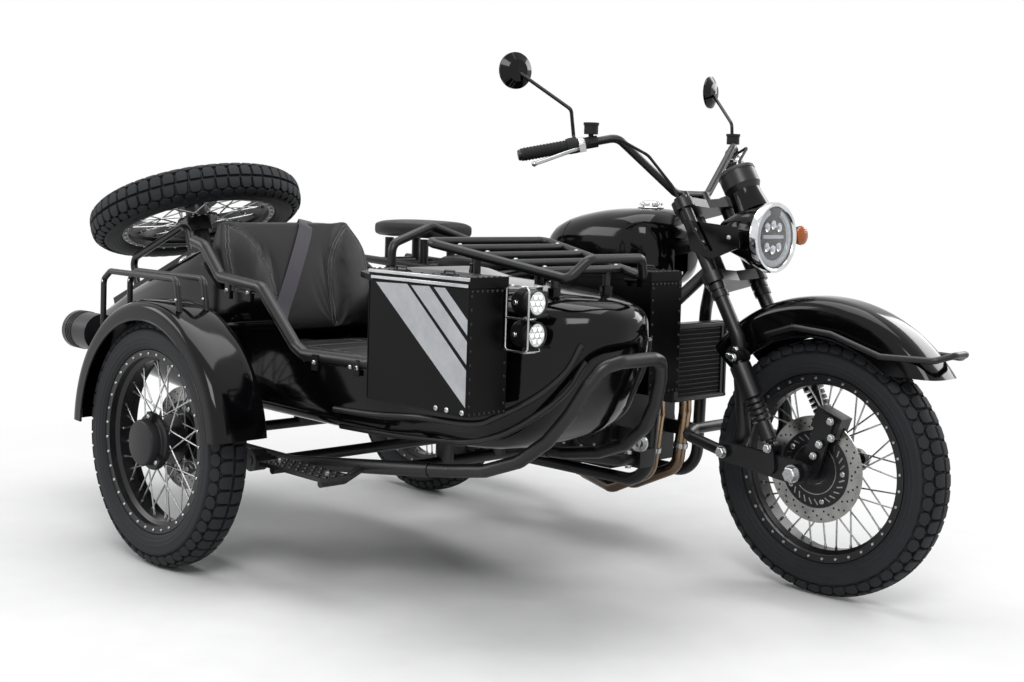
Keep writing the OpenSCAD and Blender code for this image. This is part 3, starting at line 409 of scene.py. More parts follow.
def block(size, place=None):
    x, y, z = (s / 2 for s in size)
    points = [(sx * x, sy * y, sz * z) for sx in (-1, 1) for sy in (-1, 1) for sz in (-1, 1)]
    faces = [(0, 1, 3, 2), (4, 6, 7, 5), (0, 4, 5, 1), (2, 3, 7, 6), (0, 2, 6, 4), (1, 5, 7, 3)]
    return ([place @ Vector(p) for p in points], faces) if place else (points, faces)


def shift(x, y, z):
    """Place moved by that many millimetres."""
    return Matrix.Translation(Vector((x, y, z)))


def turned(angle, axis="Z"):
    return Matrix.Rotation(angle, 4, axis)


def polar(radius, angle, height):
    return Vector((radius * math.cos(angle), radius * math.sin(angle), height))


def circle(count):
    """Angles that share a full turn."""
    return [2 * math.pi * i / count for i in range(count)]


def hex_bolt(pile, point, direction, across):
    """Hexagon head on a washer."""
    place = toward(point, direction)
    r = across / 2
    pile.add(lathe([(0, 0), (r * 1.35, 0), (r * 1.35, r * 0.22), (0, r * 0.22)], 20), place)
    head = [(0, r * 0.2), (r * 1.12, r * 0.2), (r * 1.12, r), (r * 0.95, r * 1.15), (0, r * 1.15)]
    pile.add(lathe(head, 6), place)


def dome_bolt(pile, point, direction, across):
    """Button head with a hexagon socket."""
    place = toward(point, direction)
    r = across / 2
    head = [(0, 0), (r, 0), (r, r * 0.25), (r * 0.85, r * 0.55), (r * 0.55, r * 0.7), (r * 0.42, r * 0.7),
            (r * 0.42, r * 0.35), (0, r * 0.35)]
    pile.add(lathe(head, 18), place)


def surface_of(node):
    """A node's surface, for finding points on it."""
    mesh = nodes[node].data
    return BVHTree.FromPolygons([v.co for v in mesh.vertices], [tuple(f.vertices) for f in mesh.polygons])


def painted_shells():
    """Welded skins in place of the faceted shells, so that the lacquer flows over them."""
    for name, body in SHELLS.items():
        mesh = nodes[name].data
        skin = Pile().add(([v.co * 1000 + ORIGIN for v in mesh.vertices],
                           [list(f.vertices) for f in mesh.polygons]))
        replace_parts(skin.piece(name + "_skin", body, PAINT, 42), name)


# Wheels

SPOKES, SPOKE_LEAN = 36, math.radians(40)
HUB_R, HUB_HALF = 61, 26
NIPPLE_R, NIPPLE_HALF = 216, 5
STUD_R, STUD_HALF = 231, 42
LUG_R = 70
DISC_FACES = {"front": 58, "rear": 78, "sidecar": -58}
DISC_HALF = 2.5
DRIVE_R = 83
DRILL_ROWS = (108, 118, 127)
WHEELS = {"front": "front_roller", "rear": "rear_roller", "sidecar": "sidecar_roller", "spare": "boot"}


def wheel_place(name):
    """A wheel's own axes, with Z out to the right."""
    turn = Matrix.Rotation(-BOOT_SLOPE, 4, "Y") if name == "spare" else Matrix.Rotation(math.pi / 2, 4, "X")
    return Matrix.Translation(centre(name + "_tyre")) @ turn


def section(t, sink=0.0):
    """Tyre outline at t degrees round its section, from the crown."""
    mid, half = (TYRE_R + BEAD_R) / 2, (TYRE_R - BEAD_R) / 2
    c, s = math.cos(math.radians(t)), math.sin(math.radians(t))
    return (mid + (half - sink) * math.copysign(abs(c) ** 0.8, c),
            (TYRE_W / 2 - sink) * math.copysign(abs(s) ** 0.75, s))


PITCHES = 52
GROOVE = 9.0


def carcass():
    """Tyre skin down in the grooves, with fine ribs on its sidewalls."""
    profile = []
    for t in range(-132, 133, 3):
        sink = GROOVE if abs(t) < 68 else max(0.0, GROOVE * (80 - abs(t)) / 12)
        rib = 0.9 if 88 < abs(t) < 124 and abs(t) // 3 % 4 == 0 else 0.0
        profile.append(section(t, sink + 1.2 - rib))
    edge = [(241.0, 34.4), (229.0, 34.4)]
    profile = [(r, -z) for r, z in edge[::-1]] + profile + edge
    return lathe(profile + profile[:1], 132)


def knob(t0, t1, a0, a1, widths, sink=0.0):
    """One tread block: widths narrow its rows from the crown out, and its flanks widen to the foot."""
    rows, points = len(widths), []
    mid, half = (a0 + a1) / 2, (a1 - a0) / 2
    out = math.copysign(1.0, t1 - t0)
    for depth, grow in ((sink, 0.0), (GROOVE + 2, 0.09)):
        for i, w in enumerate(widths):
            f = i / (rows - 1)
            r, z = section(t0 + (t1 - t0) * f + out * (f * 2 - 1) * grow * 12, depth)
            for s in (-1, 1):
                turn = math.radians(mid + s * half * (w + 2 * grow))
                points.append((r * math.cos(turn), r * math.sin(turn), z))
    n = rows * 2
    faces = []
    for k in range(0, n - 2, 2):
        faces += [(k, k + 1, k + 3, k + 2), (n + k, n + k + 2, n + k + 3, n + k + 1),
                  (k, k + 2, n + k + 2, n + k), (k + 1, n + k + 1, n + k + 3, k + 3)]
    faces += [(0, n, n + 1, 1), (n - 2, n - 1, 2 * n - 1, 2 * n - 2)]
    return points, faces


def tread():
    """Paired crown blocks with rounded ends, and six-sided shoulder blocks between them."""
    shapes = []
    step = 360 / PITCHES
    for i in range(PITCHES):
        for s in (-1, 1):
            a = i * step + (0.12 * step if s > 0 else 0.0)
            shapes.append(knob(s * 2, s * 34, a, a + step * 0.78, (1, 1, 1, 0.95, 0.6)))
            shapes.append(knob(s * 38, s * 70, a + step * 0.46, a + step * 1.32,
                               (0.45, 0.95, 1, 0.85, 0.5), 1.5))
    return shapes


def tyres():
    """Ribbed carcass and tread blocks in place of each plain tyre."""
    blocks = tread()
    for name, body in WHEELS.items():
        place = wheel_place(name)
        pile = Pile().add(carcass(), place)
        shell = pile.piece(name + "_tyre_carcass", body, TYRE, 30)
        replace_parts(shell, name + "_tyre")
        knobs = Pile()
        for shape in blocks:
            knobs.add(shape, place)
        knobs.piece(name + "_tyre_tread", body, TYRE, 25, 1.0)


def spoke_ends():
    """Hub end, rim end and side of each spoke, which lean one way and then the other."""
    for i in range(SPOKES):
        side = 1 if i % 2 == 0 else -1
        lean = SPOKE_LEAN if i // 2 % 2 == 0 else -SPOKE_LEAN
        a = math.radians(i * 360 / SPOKES)
        yield polar(HUB_R, a + lean, side * HUB_HALF), polar(NIPPLE_R, a, side * NIPPLE_HALF), side


def spokes():
    """Wire spokes with a nipple at the rim and a head at the hub."""
    for name, body in WHEELS.items():
        wheel = wheel_place(name)
        pile = Pile()
        for hub, rim, side in spoke_ends():
            way = (rim - hub).normalized()
            pile.add(wire([hub, rim], 2.3, 8), wheel)
            pile.add(lathe([(0, 0), (3.6, 0), (3.6, 11), (2.6, 13), (0, 13)], 8),
                     wheel @ toward(rim - way * 12, way))
            head = wheel @ toward(hub + Vector((0, 0, side * 4)), (0, 0, side))
            pile.add(lathe([(0, 0), (4.6, 0), (4.2, 2), (2, 3), (0, 3)], 10), head)
        pile.piece(name + "_spokes", body, ZINC, 40)


def disc_carriers():
    """Black carrier with slots, sensor ring, drive bolts and cross-drilling on each brake disc. The drilled
    holes and the ring of slots at radius 51 mm are thin dark marks: painted shade in the openings.
    """
    # A drilled hole is drawn as a thin dark disc: painted shade in the hole.
    hole_shade = lathe([(0, 0), (2.9, 0), (2.9, 0.15), (0, 0.15)], 12)
    drive_bolt = lathe([(0, 0), (7, 0), (7, 2.4), (5.6, 3.4), (2.6, 3.4), (2.6, 1.6), (0, 1.6)], 18)
    hub_plate = lathe([(38, 0), (99, 0), (99, 1.4), (97, 2), (66, 2), (65, 3), (62, 3), (61, 2.2),
                       (38, 2.2), (38, 0)], 72)
    for name, face in DISC_FACES.items():
        wheel = wheel_place(name)
        carrier, bolts, opening_shades, slots = Pile(), Pile(), Pile(), Pile()
        for s in (-1, 1):
            def on(r, a, z):
                """Place on this face of the disc, z above it."""
                return wheel @ toward(polar(r, a, face + s * (DISC_HALF + z)), (0, 0, s))
            flat = wheel @ toward((0, 0, face + s * DISC_HALF), (0, 0, s))
            carrier.add(hub_plate, flat)
            slots.add(lathe([(62.5, 3), (64.5, 3), (64.5, 3.3), (62.5, 3.3), (62.5, 3)], 72), flat)
            # Dark tabs in a ring on the carrier: painted shade in its slots.
            for a in circle(48):
                opening_shades.add(block((13, 2.2, 0.3), on(51, a, 2.3) @ turned(a * s)))
            for i, a in enumerate(circle(30)):
                if i % 6:
                    slots.add(block((17, 3.4, 0.3), on(DRIVE_R, a, 2.1) @ turned(a * s + 0.6)))
                else:
                    bolts.add(drive_bolt, on(DRIVE_R, a, 2.0))
            # Drilled holes in three staggered rows, each a dark disc of painted shade.
            for i, a in enumerate(circle(64)):
                opening_shades.add(hole_shade, on(DRILL_ROWS[i % 3], a, 0.03))
        body = WHEELS[name]
        carrier.piece(name + "_disc_carrier", body, SATIN)
        bolts.piece(name + "_disc_bolts", body, ZINC)
        # The painted shade of the openings takes the dark grip rubber.
        opening_shades.piece(name + "_disc_opening_shade", body, GRIP)
        slots.piece(name + "_disc_slots", body, DISC)


def rim_studs():
    """Bright spoke ends round both faces of each rim."""
    stud = lathe([(0, 0), (4.4, 0), (4.4, 1.2), (3.2, 2.8), (0, 3.2)], 10)
    for name, body in WHEELS.items():
        wheel = wheel_place(name)
        pile = Pile()
        for s in (-1, 1):
            for i in range(SPOKES):
                a = 2 * math.pi * (i + (0.5 if s > 0 else 0.0)) / SPOKES
                pile.add(stud, wheel @ toward(polar(STUD_R, a, s * STUD_HALF), (0, 0, s)))
        pile.piece(name + "_rim_studs", body, ZINC, 40)


def hub_cap():
    """Drum-shaped cap with three lugs on the sidecar wheel."""
    wheel = wheel_place("sidecar")
    cap, bolts = Pile(), Pile()
    cap.add(lathe([(0, 76.5), (54, 76.5), (58, 75), (60, 71), (61, 47), (72, 44), (75, 40), (75, 31.5),
                   (0, 31.5)], 64),
            wheel)
    for lug in (80, 200, 320):
        a = math.radians(lug)
        cap.add(block((20, 26, 16), wheel @ turned(a) @ shift(LUG_R, 0, 50)))
        dome_bolt(bolts, wheel @ polar(LUG_R, a, 58), RIGHT, 13)
    cap.piece("sidecar_hub_cap", "sidecar_roller", CAST, 35, 2.0)
    bolts.piece("sidecar_hub_bolts", "sidecar_roller", ZINC, 40)


# Soft goods

def ring_points(row, count):
    x, half, low, high, square = row
    out = []
    for i in range(count):
        a = 2 * math.pi * i / count
        c, s = math.cos(a), math.sin(a)
        out.append(Vector((x, half * math.copysign(abs(c) ** (2 / square), c),
                           (low + high) / 2 + (high - low) / 2 * math.copysign(abs(s) ** (2 / square), s))))
    return out


def lofted(rows, count=64, per=6):
    """Closed skin through superellipse rows, crowned at both ends."""
    dense = smooth_run([np.array(r, float) for r in rows], per)
    points = [p for row in dense for p in ring_points(row, count)]
    n = len(dense)
    faces = [(i * count + k, i * count + (k + 1) % count, (i + 1) * count + (k + 1) % count,
              (i + 1) * count + k)
             for i in range(n - 1) for k in range(count)]
    for i in (0, n - 1):
        points.append(sum(points[i * count:(i + 1) * count], Vector()) / count)
        tip = len(points) - 1
        faces += [(tip, i * count + k, i * count + (k + 1) % count) for k in range(count)]
    return points, faces


def remeshed(name, shape, voxel):
    """Even voxel mesh of a rough shape."""
    mesh = bpy.data.meshes.new(name)
    mesh.from_pydata([p / 1000 for p in shape[0]], [], shape[1])
    work = bmesh.new()
    work.from_mesh(mesh)
    bmesh.ops.recalc_face_normals(work, faces=work.faces)
    work.to_mesh(mesh)
    work.free()
    rough = bpy.data.objects.new(name, mesh)
    scene.collection.objects.link(rough)
    grid = rough.modifiers.new("grid", "REMESH")
    grid.mode = "VOXEL"
    grid.voxel_size = voxel / 1000
    found = bpy.data.meshes.new_from_object(rough.evaluated_get(bpy.context.evaluated_depsgraph_get()))
    bpy.data.objects.remove(rough)
    return found


def inflate(mesh, held, cap):
    """Blows the pad up under cloth pressure, with held points still and no move over cap millimetres."""
    obj = bpy.data.objects.new("pad_work", mesh)
    scene.collection.objects.link(obj)
    group = obj.vertex_groups.new(name="held")
    group.add([int(i) for i in np.nonzero(held)[0]], 1.0, "REPLACE")
    cloth = obj.modifiers.new("cloth", "CLOTH")
    cloth.settings.use_pressure = True
    cloth.settings.uniform_pressure_force = 4.0
    cloth.settings.vertex_group_mass = "held"
    cloth.settings.effector_weights.gravity = 0.0
    cloth.settings.quality = 4
    for f in range(1, 21):
        scene.frame_set(f)
    done = obj.evaluated_get(bpy.context.evaluated_depsgraph_get()).to_mesh()
    before, after = coords(mesh), coords(done)
    scene.frame_set(1)
    bpy.data.objects.remove(obj)
    move = after - before
    far = np.linalg.norm(move, axis=1, keepdims=True)
    return before + move * np.minimum(1.0, cap / 1000 / np.maximum(far, 1e-9))


def coords(mesh):
    out = np.zeros(len(mesh.vertices) * 3)
    mesh.vertices.foreach_get("co", out)
    return out.reshape(-1, 3)


def cushion(name, node, body, shape, place, seams, flat, cap=9, voxel=6):
    """A stuffed pad: swollen between its seams, creased along them and sewn beside them."""
    mesh = remeshed(name, shape, voxel)
    here = coords(mesh)
    lines = [[tuple(p / 1000) for p in spline(s, 24)] for s in seams]
    tree = BVHTree.FromPolygons([tuple(p) for p in here], [tuple(p.vertices) for p in mesh.polygons])
    lines = [[tree.find_nearest(Vector(p))[0] for p in line] for line in lines]
    close = KDTree(max(1, sum(len(l) for l in lines)))
    for i, p in enumerate(p for l in lines for p in l):
        close.insert(p, i)
    close.balance()
    gap = np.array([close.find(Vector(p))[2] for p in here]) * 1000 if seams else np.full(len(here), 1e3)
    held = (gap < 5) | flat(here * 1000)
    soft = inflate(mesh, held, cap)
    mesh.vertices.foreach_set("co", soft.ravel())
    mesh.update()
    normals = np.array([v.normal for v in mesh.vertices])
    soft = soft - normals * (0.0035 * np.exp(-(gap / 5.5) ** 2))[:, None]
    solid = BVHTree.FromPolygons([tuple(p) for p in soft], [tuple(p.vertices) for p in mesh.polygons])
    world = [place @ Vector(p * 1000) - ORIGIN for p in soft]
    mesh.vertices.foreach_set("co", np.array([w / 1000 for w in world]).ravel())
    mesh.update()
    pad = show(name, mesh, body, LEATHER, 80)
    smooth = pad.modifiers.new("round", "SUBSURF")
    smooth.levels = smooth.render_levels = 1
    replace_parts(pad, node)
    if seams:
        stitches(name + "_stitches", body, lines, solid, place)
    return pad, solid


def stitches(name, body, lines, solid, place):
    """Rows of short stitches either side of each seam."""
    pile = Pile()
    for line in lines:
        run = [Vector(p) for p in line]
        total = 0.0
        for a, b in zip(run, run[1:]):
            total += (b - a).length
            if total < 0.0058 or (b - a).length < 1e-6:
                continue
            total = 0.0
            spot, normal, _, _ = solid.find_nearest(b)
            ahead = (b - a).normalized()
            side = normal.cross(ahead).normalized()
            for s in (-1, 1):
                foot, up, _, _ = solid.find_nearest(spot + side * s * 0.0052)
                ends = [foot - ahead * 0.0021 - up * 0.0003, foot + up * 0.0007,
                        foot + ahead * 0.0021 - up * 0.0003]
                pile.add(wire([e * 1000 for e in ends], 0.55, 6), place)
    pile.piece(name, body, THREAD, 60)


SEAT_TILT = Matrix.Rotation(math.radians(-110.7), 4, "Y")
SEAT_BACK = Matrix.Translation(Vector((244, BODY_Y, 588))) @ SEAT_TILT


def shaped(shape, move):
    return [move(p) for p in shape[0]], shape[1]


def back_form(p):
    """Centre panel set back between two bolsters that swing out at the top."""
    q = p.copy()
    if p.z < 0:
        edge = 84 + 74 * max(0.0, (p.x - 130) / 190) ** 1.6
        side = min(1.0, max(0.0, (abs(p.y) - edge) / 44))
        q.z *= 0.5 + 0.54 * side * side * (3 - 2 * side)
    return q


def passenger_seat():
    """Stitched back and base of the sidecar's seat."""
    back = shaped(lofted([[5, 232, -36, 40, 3.4], [60, 254, -46, 44, 4], [160, 259, -47, 46, 4.4],
                          [250, 256, -46, 44, 4.2],
                          [333, 224, -30, 32, 3.2]]), back_form)
    inner = [(12, 92), (60, 92), (120, 98), (180, 107), (235, 130), (290, 172), (318, 205)]
    seams = [[(u, s * y, -30) for u, y in inner] for s in (-1, 1)]
    seams += [[(8, s * 222, -24), (60, s * 236, -40), (160, s * 240, -40), (250, s * 236, -40),
               (318, s * 214, -22)] for s in (-1, 1)]
    seams += [[(328, -214, -4), (333, -90, -12), (333, 90, -12), (328, 214, -4)]]
    _, solid = cushion("seat_back_pad", "seat_back", "chassis", back, SEAT_BACK, seams,
                         lambda p: p[:, 2] > 34)
    belt(solid)
    base = lofted([[238, 184, 503, 556, 4], [280, 204, 503, 567, 4.6], [440, 206, 503, 572, 4.8],
                   [625, 204, 503, 572, 4.6],
                   [682, 184, 503, 552, 4]])
    lines = [[(250, s * 112, 566), (420, s * 118, 572), (600, s * 116, 572), (678, s * 104, 550)]
             for s in (-1, 1)]
    lines += [[(300 + 110 * i, -112, 570), (300 + 110 * i, 0, 574), (300 + 110 * i, 112, 570)]
              for i in range(3)]
    cushion("seat_base_pad", "seat_base", "chassis", base, Matrix.Translation(Vector((0, BODY_Y, 0))),
            lines,
            lambda p: p[:, 2] < 512)


def belt(solid):
    """Shoulder strap over the seat back and down across its centre panel."""
    path = []
    for u, y in [(322, 62), (300, 52), (250, 22), (190, -14), (120, -54), (60, -88), (14, -112)]:
        hit, _, _, _ = solid.ray_cast(Vector((u / 1000, y / 1000, -0.3)), Vector((0, 0, 1)))
        path.append(Vector(hit) * 1000 + Vector((0, 0, -2.0)) if hit else Vector((u, y, -30)))
    path = [path[0] + Vector((17, 14, 46)), path[0] + Vector((14, 8, 16))] + path
    line = spline(path, 6)
    flat = [(-23, -0.9), (23, -0.9), (23, 0.9), (-23, 0.9)]
    pts = []
    for i, p in enumerate(line):
        ahead = (line[min(i + 1, len(line) - 1)] - line[max(i - 1, 0)]).normalized()
        out = Vector((0, 0, -1)) if p.z < -5 else Vector((1, 0, -0.2))
        side = ahead.cross(out).normalized()
        up = side.cross(ahead)
        pts += [p + side * u + up * v for u, v in flat]
    faces = [(i * 4 + k, i * 4 + (k + 1) % 4, i * 4 + 4 + (k + 1) % 4, i * 4 + 4 + k)
             for i in range(len(line) - 1) for k in range(4)]
    Pile().add((pts, faces), SEAT_BACK).piece("seat_belt", "chassis", BELT, 50)


def motorcycle_seats():
    """Rider's saddle and the pillion pad behind it."""
    rider = lofted([[146, 104, 752, 798, 3.6], [250, 126, 752, 808, 4], [360, 126, 754, 806, 4],
                    [450, 122, 764, 806, 4],
                    [578, 74, 806, 838, 3.2]])
    cushion("rider_seat_pad", "rider_seat", "chassis", rider, Matrix(),
            [[(150, s * 92, 796), (250, s * 112, 800), (450, s * 108, 800), (572, s * 62, 834)]
             for s in (-1, 1)],
            lambda p: p[:, 2] < 770)
    low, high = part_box("pillion_seat")
    z0, z1 = low.z * 1000, high.z * 1000
    pillion = lofted([[-200, 88, z0 + 3, z1 - 10, 3.6], [-120, 104, z0 + 3, z1 - 6, 4],
                      [40, 106, z0 + 3, z1 - 6, 4], [100, 92, z0 + 3, z1 - 10, 3.6]])
    cushion("pillion_seat_pad", "pillion_seat", "chassis", pillion, Matrix(),
            [[(-190, s * 76, z1 - 12), (-60, s * 90, z1 - 6), (92, s * 80, z1 - 12)]
             for s in (-1, 1)], lambda p: p[:, 2] < z0 + 12)


# Lamps, gauge and bars

SPOT_Y, SPOT_HEIGHTS = BODY_Y - 217, (771, 700)


def headlamp():
    """Bright ring, pale halo broken at the top, small reflectors and a cross bar behind a clear cover."""
    low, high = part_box("headlamp_lens")
    face = Vector((high.x * 1000 + ORIGIN.x - 10, 0, (low.z + high.z) * 500))
    place = toward(face, AXIS_X)

    def turned_part(name, profile, count, material, sharp):
        return Pile().add(lathe(profile, count), place).piece("headlamp_" + name, "steering", material,
                sharp)

    skin = [(0, 10), (30, 9), (46, 7), (70, 3), (82.4, 0)]
    inside = [(r * 0.98, h - 2) for r, h in skin[::-1]]
    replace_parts(turned_part("cover", skin + [(82.4, -2)] + inside, 72, GLASS, 60), "headlamp_lens")
    turned_part("ring", [(81, -2), (83, 3), (87, 6), (92, 5), (94.5, 0), (94.5, -15), (92.3, -15),
                         (92.3, -1), (81, -2)],
                80, CHROME, 50)
    turned_part("halo", [(61, -8), (64, -2.5), (74, -2.5), (79, -8), (61, -8)], 80, OPAL, 60)
    turned_part("bowl", [(0, -12.5), (58, -12.5), (61, -9), (81, -9), (81, -13.5), (0, -13.5)], 72, SMOKED,
                40)
    dark = Pile().add(block((7, 46, 22), shift(*(face + Vector((-5, 0, 68))))))
    for y in (-10, 0, 10):
        dark.add(block((9, 5, 14), shift(*(face + Vector((-5, y, 68))))))
    dark.piece("headlamp_halo_break", "steering", SMOKED, 30, 2)
    bar = Pile().add(block((5, 92, 10), shift(*(face + Vector((-7, 0, 2))))))
    bar.piece("headlamp_bar", "steering", OPAL, 30, 2)
    cups, eyes = Pile(), Pile()
    for z, bow in ((-32, 0.25), (34, -0.25)):
        for y in (-27, 0, 27):
            at = toward(face + Vector((-11, y, z + abs(y) * bow)), AXIS_X)
            cups.add(lathe([(13, 0), (12, 4), (6, 1), (0, 0.6)], 24), at)
            eyes.add(lathe([(5, 0.8), (4, 4), (0, 5.4)], 20), at)
    cups.piece("headlamp_reflectors", "steering", CHROME, 40)
    eyes.piece("headlamp_diodes", "steering", OPAL, 60)


def indicator():
    """Amber lens in a dark cup on a short stalk, left of the headlamp."""
    at = toward((1362, 150, 917), AXIS_X)
    lens = Pile().add(lathe([(26, -4), (25, 4), (18, 9), (0, 11), (0, -4), (26, -4)], 40), at)
    lens.piece("indicator_lens", "steering", AMBER, 40)
    cup = Pile().add(lathe([(0, -34), (12, -33), (22, -20), (26.6, -4), (26.6, -2), (0, -2)], 40), at)
    cup.add(wire([(1338, 116, 914), (1342, 136, 916), (1346, 150, 917)], 7, 16))
    cup.piece("indicator_body", "steering", SATIN, 40)


def spot_lamps():
    """Seven-cell work lamps in finned cans behind a wire cage."""
    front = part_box("spot_lamps")[1].x * 1000 + ORIGIN.x
    cells, rims, cups, cage, bolts = Pile(), Pile(), Pile(), Pile(), Pile()
    for z in SPOT_HEIGHTS:
        at = Vector((front, SPOT_Y, z))
        rims.add(lathe([(25, -2), (26, 3), (29, 4), (30.5, 1), (30.5, -18), (27.2, -18), (27.2, -2),
                        (25, -2)], 40),
                 toward(at, AXIS_X))
        cups.add(lathe([(0, 0.3), (25.5, 0.3), (25.5, 1.0), (0, 1.0)], 40), toward(at, AXIS_X))
        for ring in [Vector((0, 15.5 * math.cos(a), 15.5 * math.sin(a))) for a in circle(6)] + [Vector()]:
            cell = toward(at + ring, AXIS_X)
            cups.add(lathe([(7.4, 0.5), (7.4, 2.4), (6.6, 2.4), (3.4, 1.2), (0, 1.2)], 18), cell)
            cells.add(lathe([(5.6, 1.1), (4.6, 2.8), (0, 3.5)], 14), cell)
        for i in range(5):
            rims.add(lathe([(26.5, 0), (30, 0), (30, 2), (26.5, 2), (26.5, 0)], 36),
                     toward(at - AXIS_X * (26 + 6 * i), AXIS_X))
    y = BODY_Y - 257
    low, mid, high = 664, 737, 808
    loop = [(1370, high), (1398, high), (1405, 800), (1405, 672), (1398, low), (1342, low), (1335, 672),
            (1335, 800),
            (1342, high), (1370, high)]
    cage.add(wire([(x, y, z) for x, z in loop], 2.6, 10))
    cage.add(wire([(1335, y, mid), (1405, y, mid)], 2.4, 10))
    for z, foot in ((high, high), (low, low + 24)):
        cage.add(wire([(1398, y, z), (1402, y + 20, z), (1400, y + 44, z), (1372, y + 52, foot)], 2.6, 10))
    cage.add(wire([(1405, y + 2, mid), (1403, y + 24, mid), (1366, y + 46, mid)], 2.4, 10))
    for z in (735, 790, 682):
        dome_bolt(bolts, (1358, SPOT_Y - 0.5, z), RIGHT, 13)
    for z in SPOT_HEIGHTS:
        hex_bolt(bolts, (1352, SPOT_Y - 27, z), RIGHT, 10)
    rims.piece("spot_rims", "chassis", SATIN, 40)
    cups.piece("spot_reflectors", "chassis", CHROME, 40)
    cells.piece("spot_lenses", "chassis", DIODE, 60)
    cage.piece("spot_cage", "chassis", ZINC, 60)
    bolts.piece("spot_bolts", "chassis", ZINC, 40)


def gauge():
    """Round instrument with a black rim, dial marks and a needle."""
    axis = Vector((-0.5, 0, 0.86)).normalized()
    top = Vector((1264, 0, 1050)) + axis * 38
    bezel = Pile().add(lathe([(43, 0), (44, 4), (48, 5.5), (51.5, 3), (52.4, -6), (51.2, -6), (46, 0),
                              (43, 0)], 64),
                       toward(top, axis))
    bezel.piece("gauge_bezel", "steering", CAST, 50)
    dial = Pile().add(lathe([(0, 0.2), (43, 0.2), (43, 0.6), (0, 0.6)], 56), toward(top, axis))
    dial.piece("gauge_dial", "steering", DIAL, 40)
    marks = Pile()
    place = toward(top + axis * 0.6, axis)
    for i in range(25):
        a = math.radians(-135 + 270 * i / 24)
        long = 8 if i % 4 == 0 else 4
        marks.add(block((long, 1.1, 0.4), place @ turned(a) @ shift(38 - long / 2, 0, 0.2)))
    marks.add(block((30, 1.6, 0.5), place @ turned(2.1) @ shift(12, 0, 0.9)))
    marks.add(lathe([(0, 0), (5, 0), (5, 2), (0, 2.4)], 20), place)
    marks.piece("gauge_marks", "steering", OPAL, 40)


def mirrors():
    """Glass on the rear of each mirror."""
    pile = Pile()
    for s in (-1, 1):
        d = Vector((-0.97, -0.24 * s, 0)).normalized()
        at = Vector((820, 432 * s, 1342)) + d * 8
        pile.add(lathe([(0, 0.1), (46, 0.1), (46, 0.9), (0, 1.2)], 48), toward(at, d))
    pile.piece("mirror_glass", "steering", CHROME, 40)


def tail_lamps():
    """Red lenses on the rear of the two dark lamp cans, with ribbed rims."""
    lens, rims = Pile(), Pile()
    for x, y, z, r in ((-150, -1190, 586, 52), (-400.3, 0, 560, 45)):
        at = Vector((x, y, z))
        lens.add(lathe([(r - 5, 0), (r - 6, 5), (r * 0.6, 9), (0, 11), (0, 0), (r - 5, 0)], 48),
                 toward(at, -AXIS_X))
        rims.add(lathe([(r - 5, 0), (r - 5, 6), (r - 1, 7), (r + 1.5, 4), (r + 1.5, -16), (r, -16), (r, 0),
                        (r - 5, 0)], 48), toward(at, -AXIS_X))
        for i in range(3):
            rims.add(lathe([(r, 0), (r + 1.6, 0), (r + 1.6, 3), (r, 3), (r, 0)], 48),
                     toward(at + AXIS_X * (26 + 9 * i), -AXIS_X))
    lens.piece("tail_lenses", "chassis", RED, 40)
    rims.piece("tail_lamp_rims", "chassis", SATIN, 40)


def bar_fittings():
    """Bright perches, levers with ball ends, switch buttons, key and grip ribs."""
    bright, red, ribs, dark = Pile(), Pile(), Pile(), Pile()
    for s in (-1, 1):
        def at(x, y, z):
            """Point on this side of the bars."""
            return Vector((x, s * y, z))
        end, bend = at(881, 460, 1113), at(1040, 260, 1167)
        along = (end - bend).normalized()
        inner = end - along * 150
        bright.add(lathe([(11.4, -9), (17.5, -9), (18.5, -6), (18.5, 6), (17.5, 9), (11.4, 9), (11.4, -9)],
                         28),
                   toward(inner - along * 12, along))
        bright.add(block((26, 22, 18), toward(inner + along * 2 + at(22, 0, -8), along)))
        tip = end + at(62, 6, -22)
        root = inner + along * 8 + at(20, 0, -8)
        reach = tip - root
        blade = spline([root, root + reach * 0.3 + at(4, 0, 2), root + reach * 0.75, tip,
                        tip + reach.normalized() * 6], 6)
        bright.add(sweep(blade, [(6.4, -3.4), (6.4, 3.4), (4, 5), (-4, 5), (-6.4, 3.4), (-6.4, -3.4),
                                 (-4, -5), (4, -5)]))
        bright.add(lathe([(0, -8), (6, -5), (8, 0), (6, 5), (0, 8)], 20),
                   toward(tip + reach.normalized() * 8, (0, 0, 1)))
        for i in range(13):
            ribs.add(lathe([(17, -1.6), (18.3, -1.2), (18.3, 1.2), (17, 1.6), (17, -1.6)], 28),
                     toward(inner + along * (34 + 9 * i), along))
        ribs.add(lathe([(17, -4), (21, -3), (21, 3), (17, 4), (17, -4)], 28),
                 toward(inner + along * 25, along))
        dark.add(lathe([(0, 0), (15, 0), (15, 6), (12, 9), (0, 9)], 24), toward(end + along * 3, along))
        red.add(block((16, 9, 6), toward(inner + along * 10 + at(0, 0, 23), along)))
    red.add(lathe([(0, 0), (9, 0), (9, 9), (7, 12), (0, 12)], 20), toward((1120, -36, 992), (0.2, 0, 1)))
    bright.piece("bar_bright_parts", "steering", ZINC, 35, 1.0)
    red.piece("bar_red_buttons", "steering", RED, 35, 1.0)
    ribs.piece("grip_ribs", "steering", GRIP, 40)
    dark.piece("bar_ends", "steering", SATIN, 40)


# Side boxes

FACE_Y = BODY_Y - 246 - 118
BOX_FRONT, BOX_BACK, BOX_MID_X = 1330, 985, 1157.5
LID_TOP = 826
STRIPES = [
    [(1010, 796), (1121, 799), (1326, 624), (1326, 543)],
    [(1135, 797), (1197, 799), (1326, 687), (1326, 637)],
    [(1213, 798), (1250, 799), (1327, 733), (1327, 700)],
]


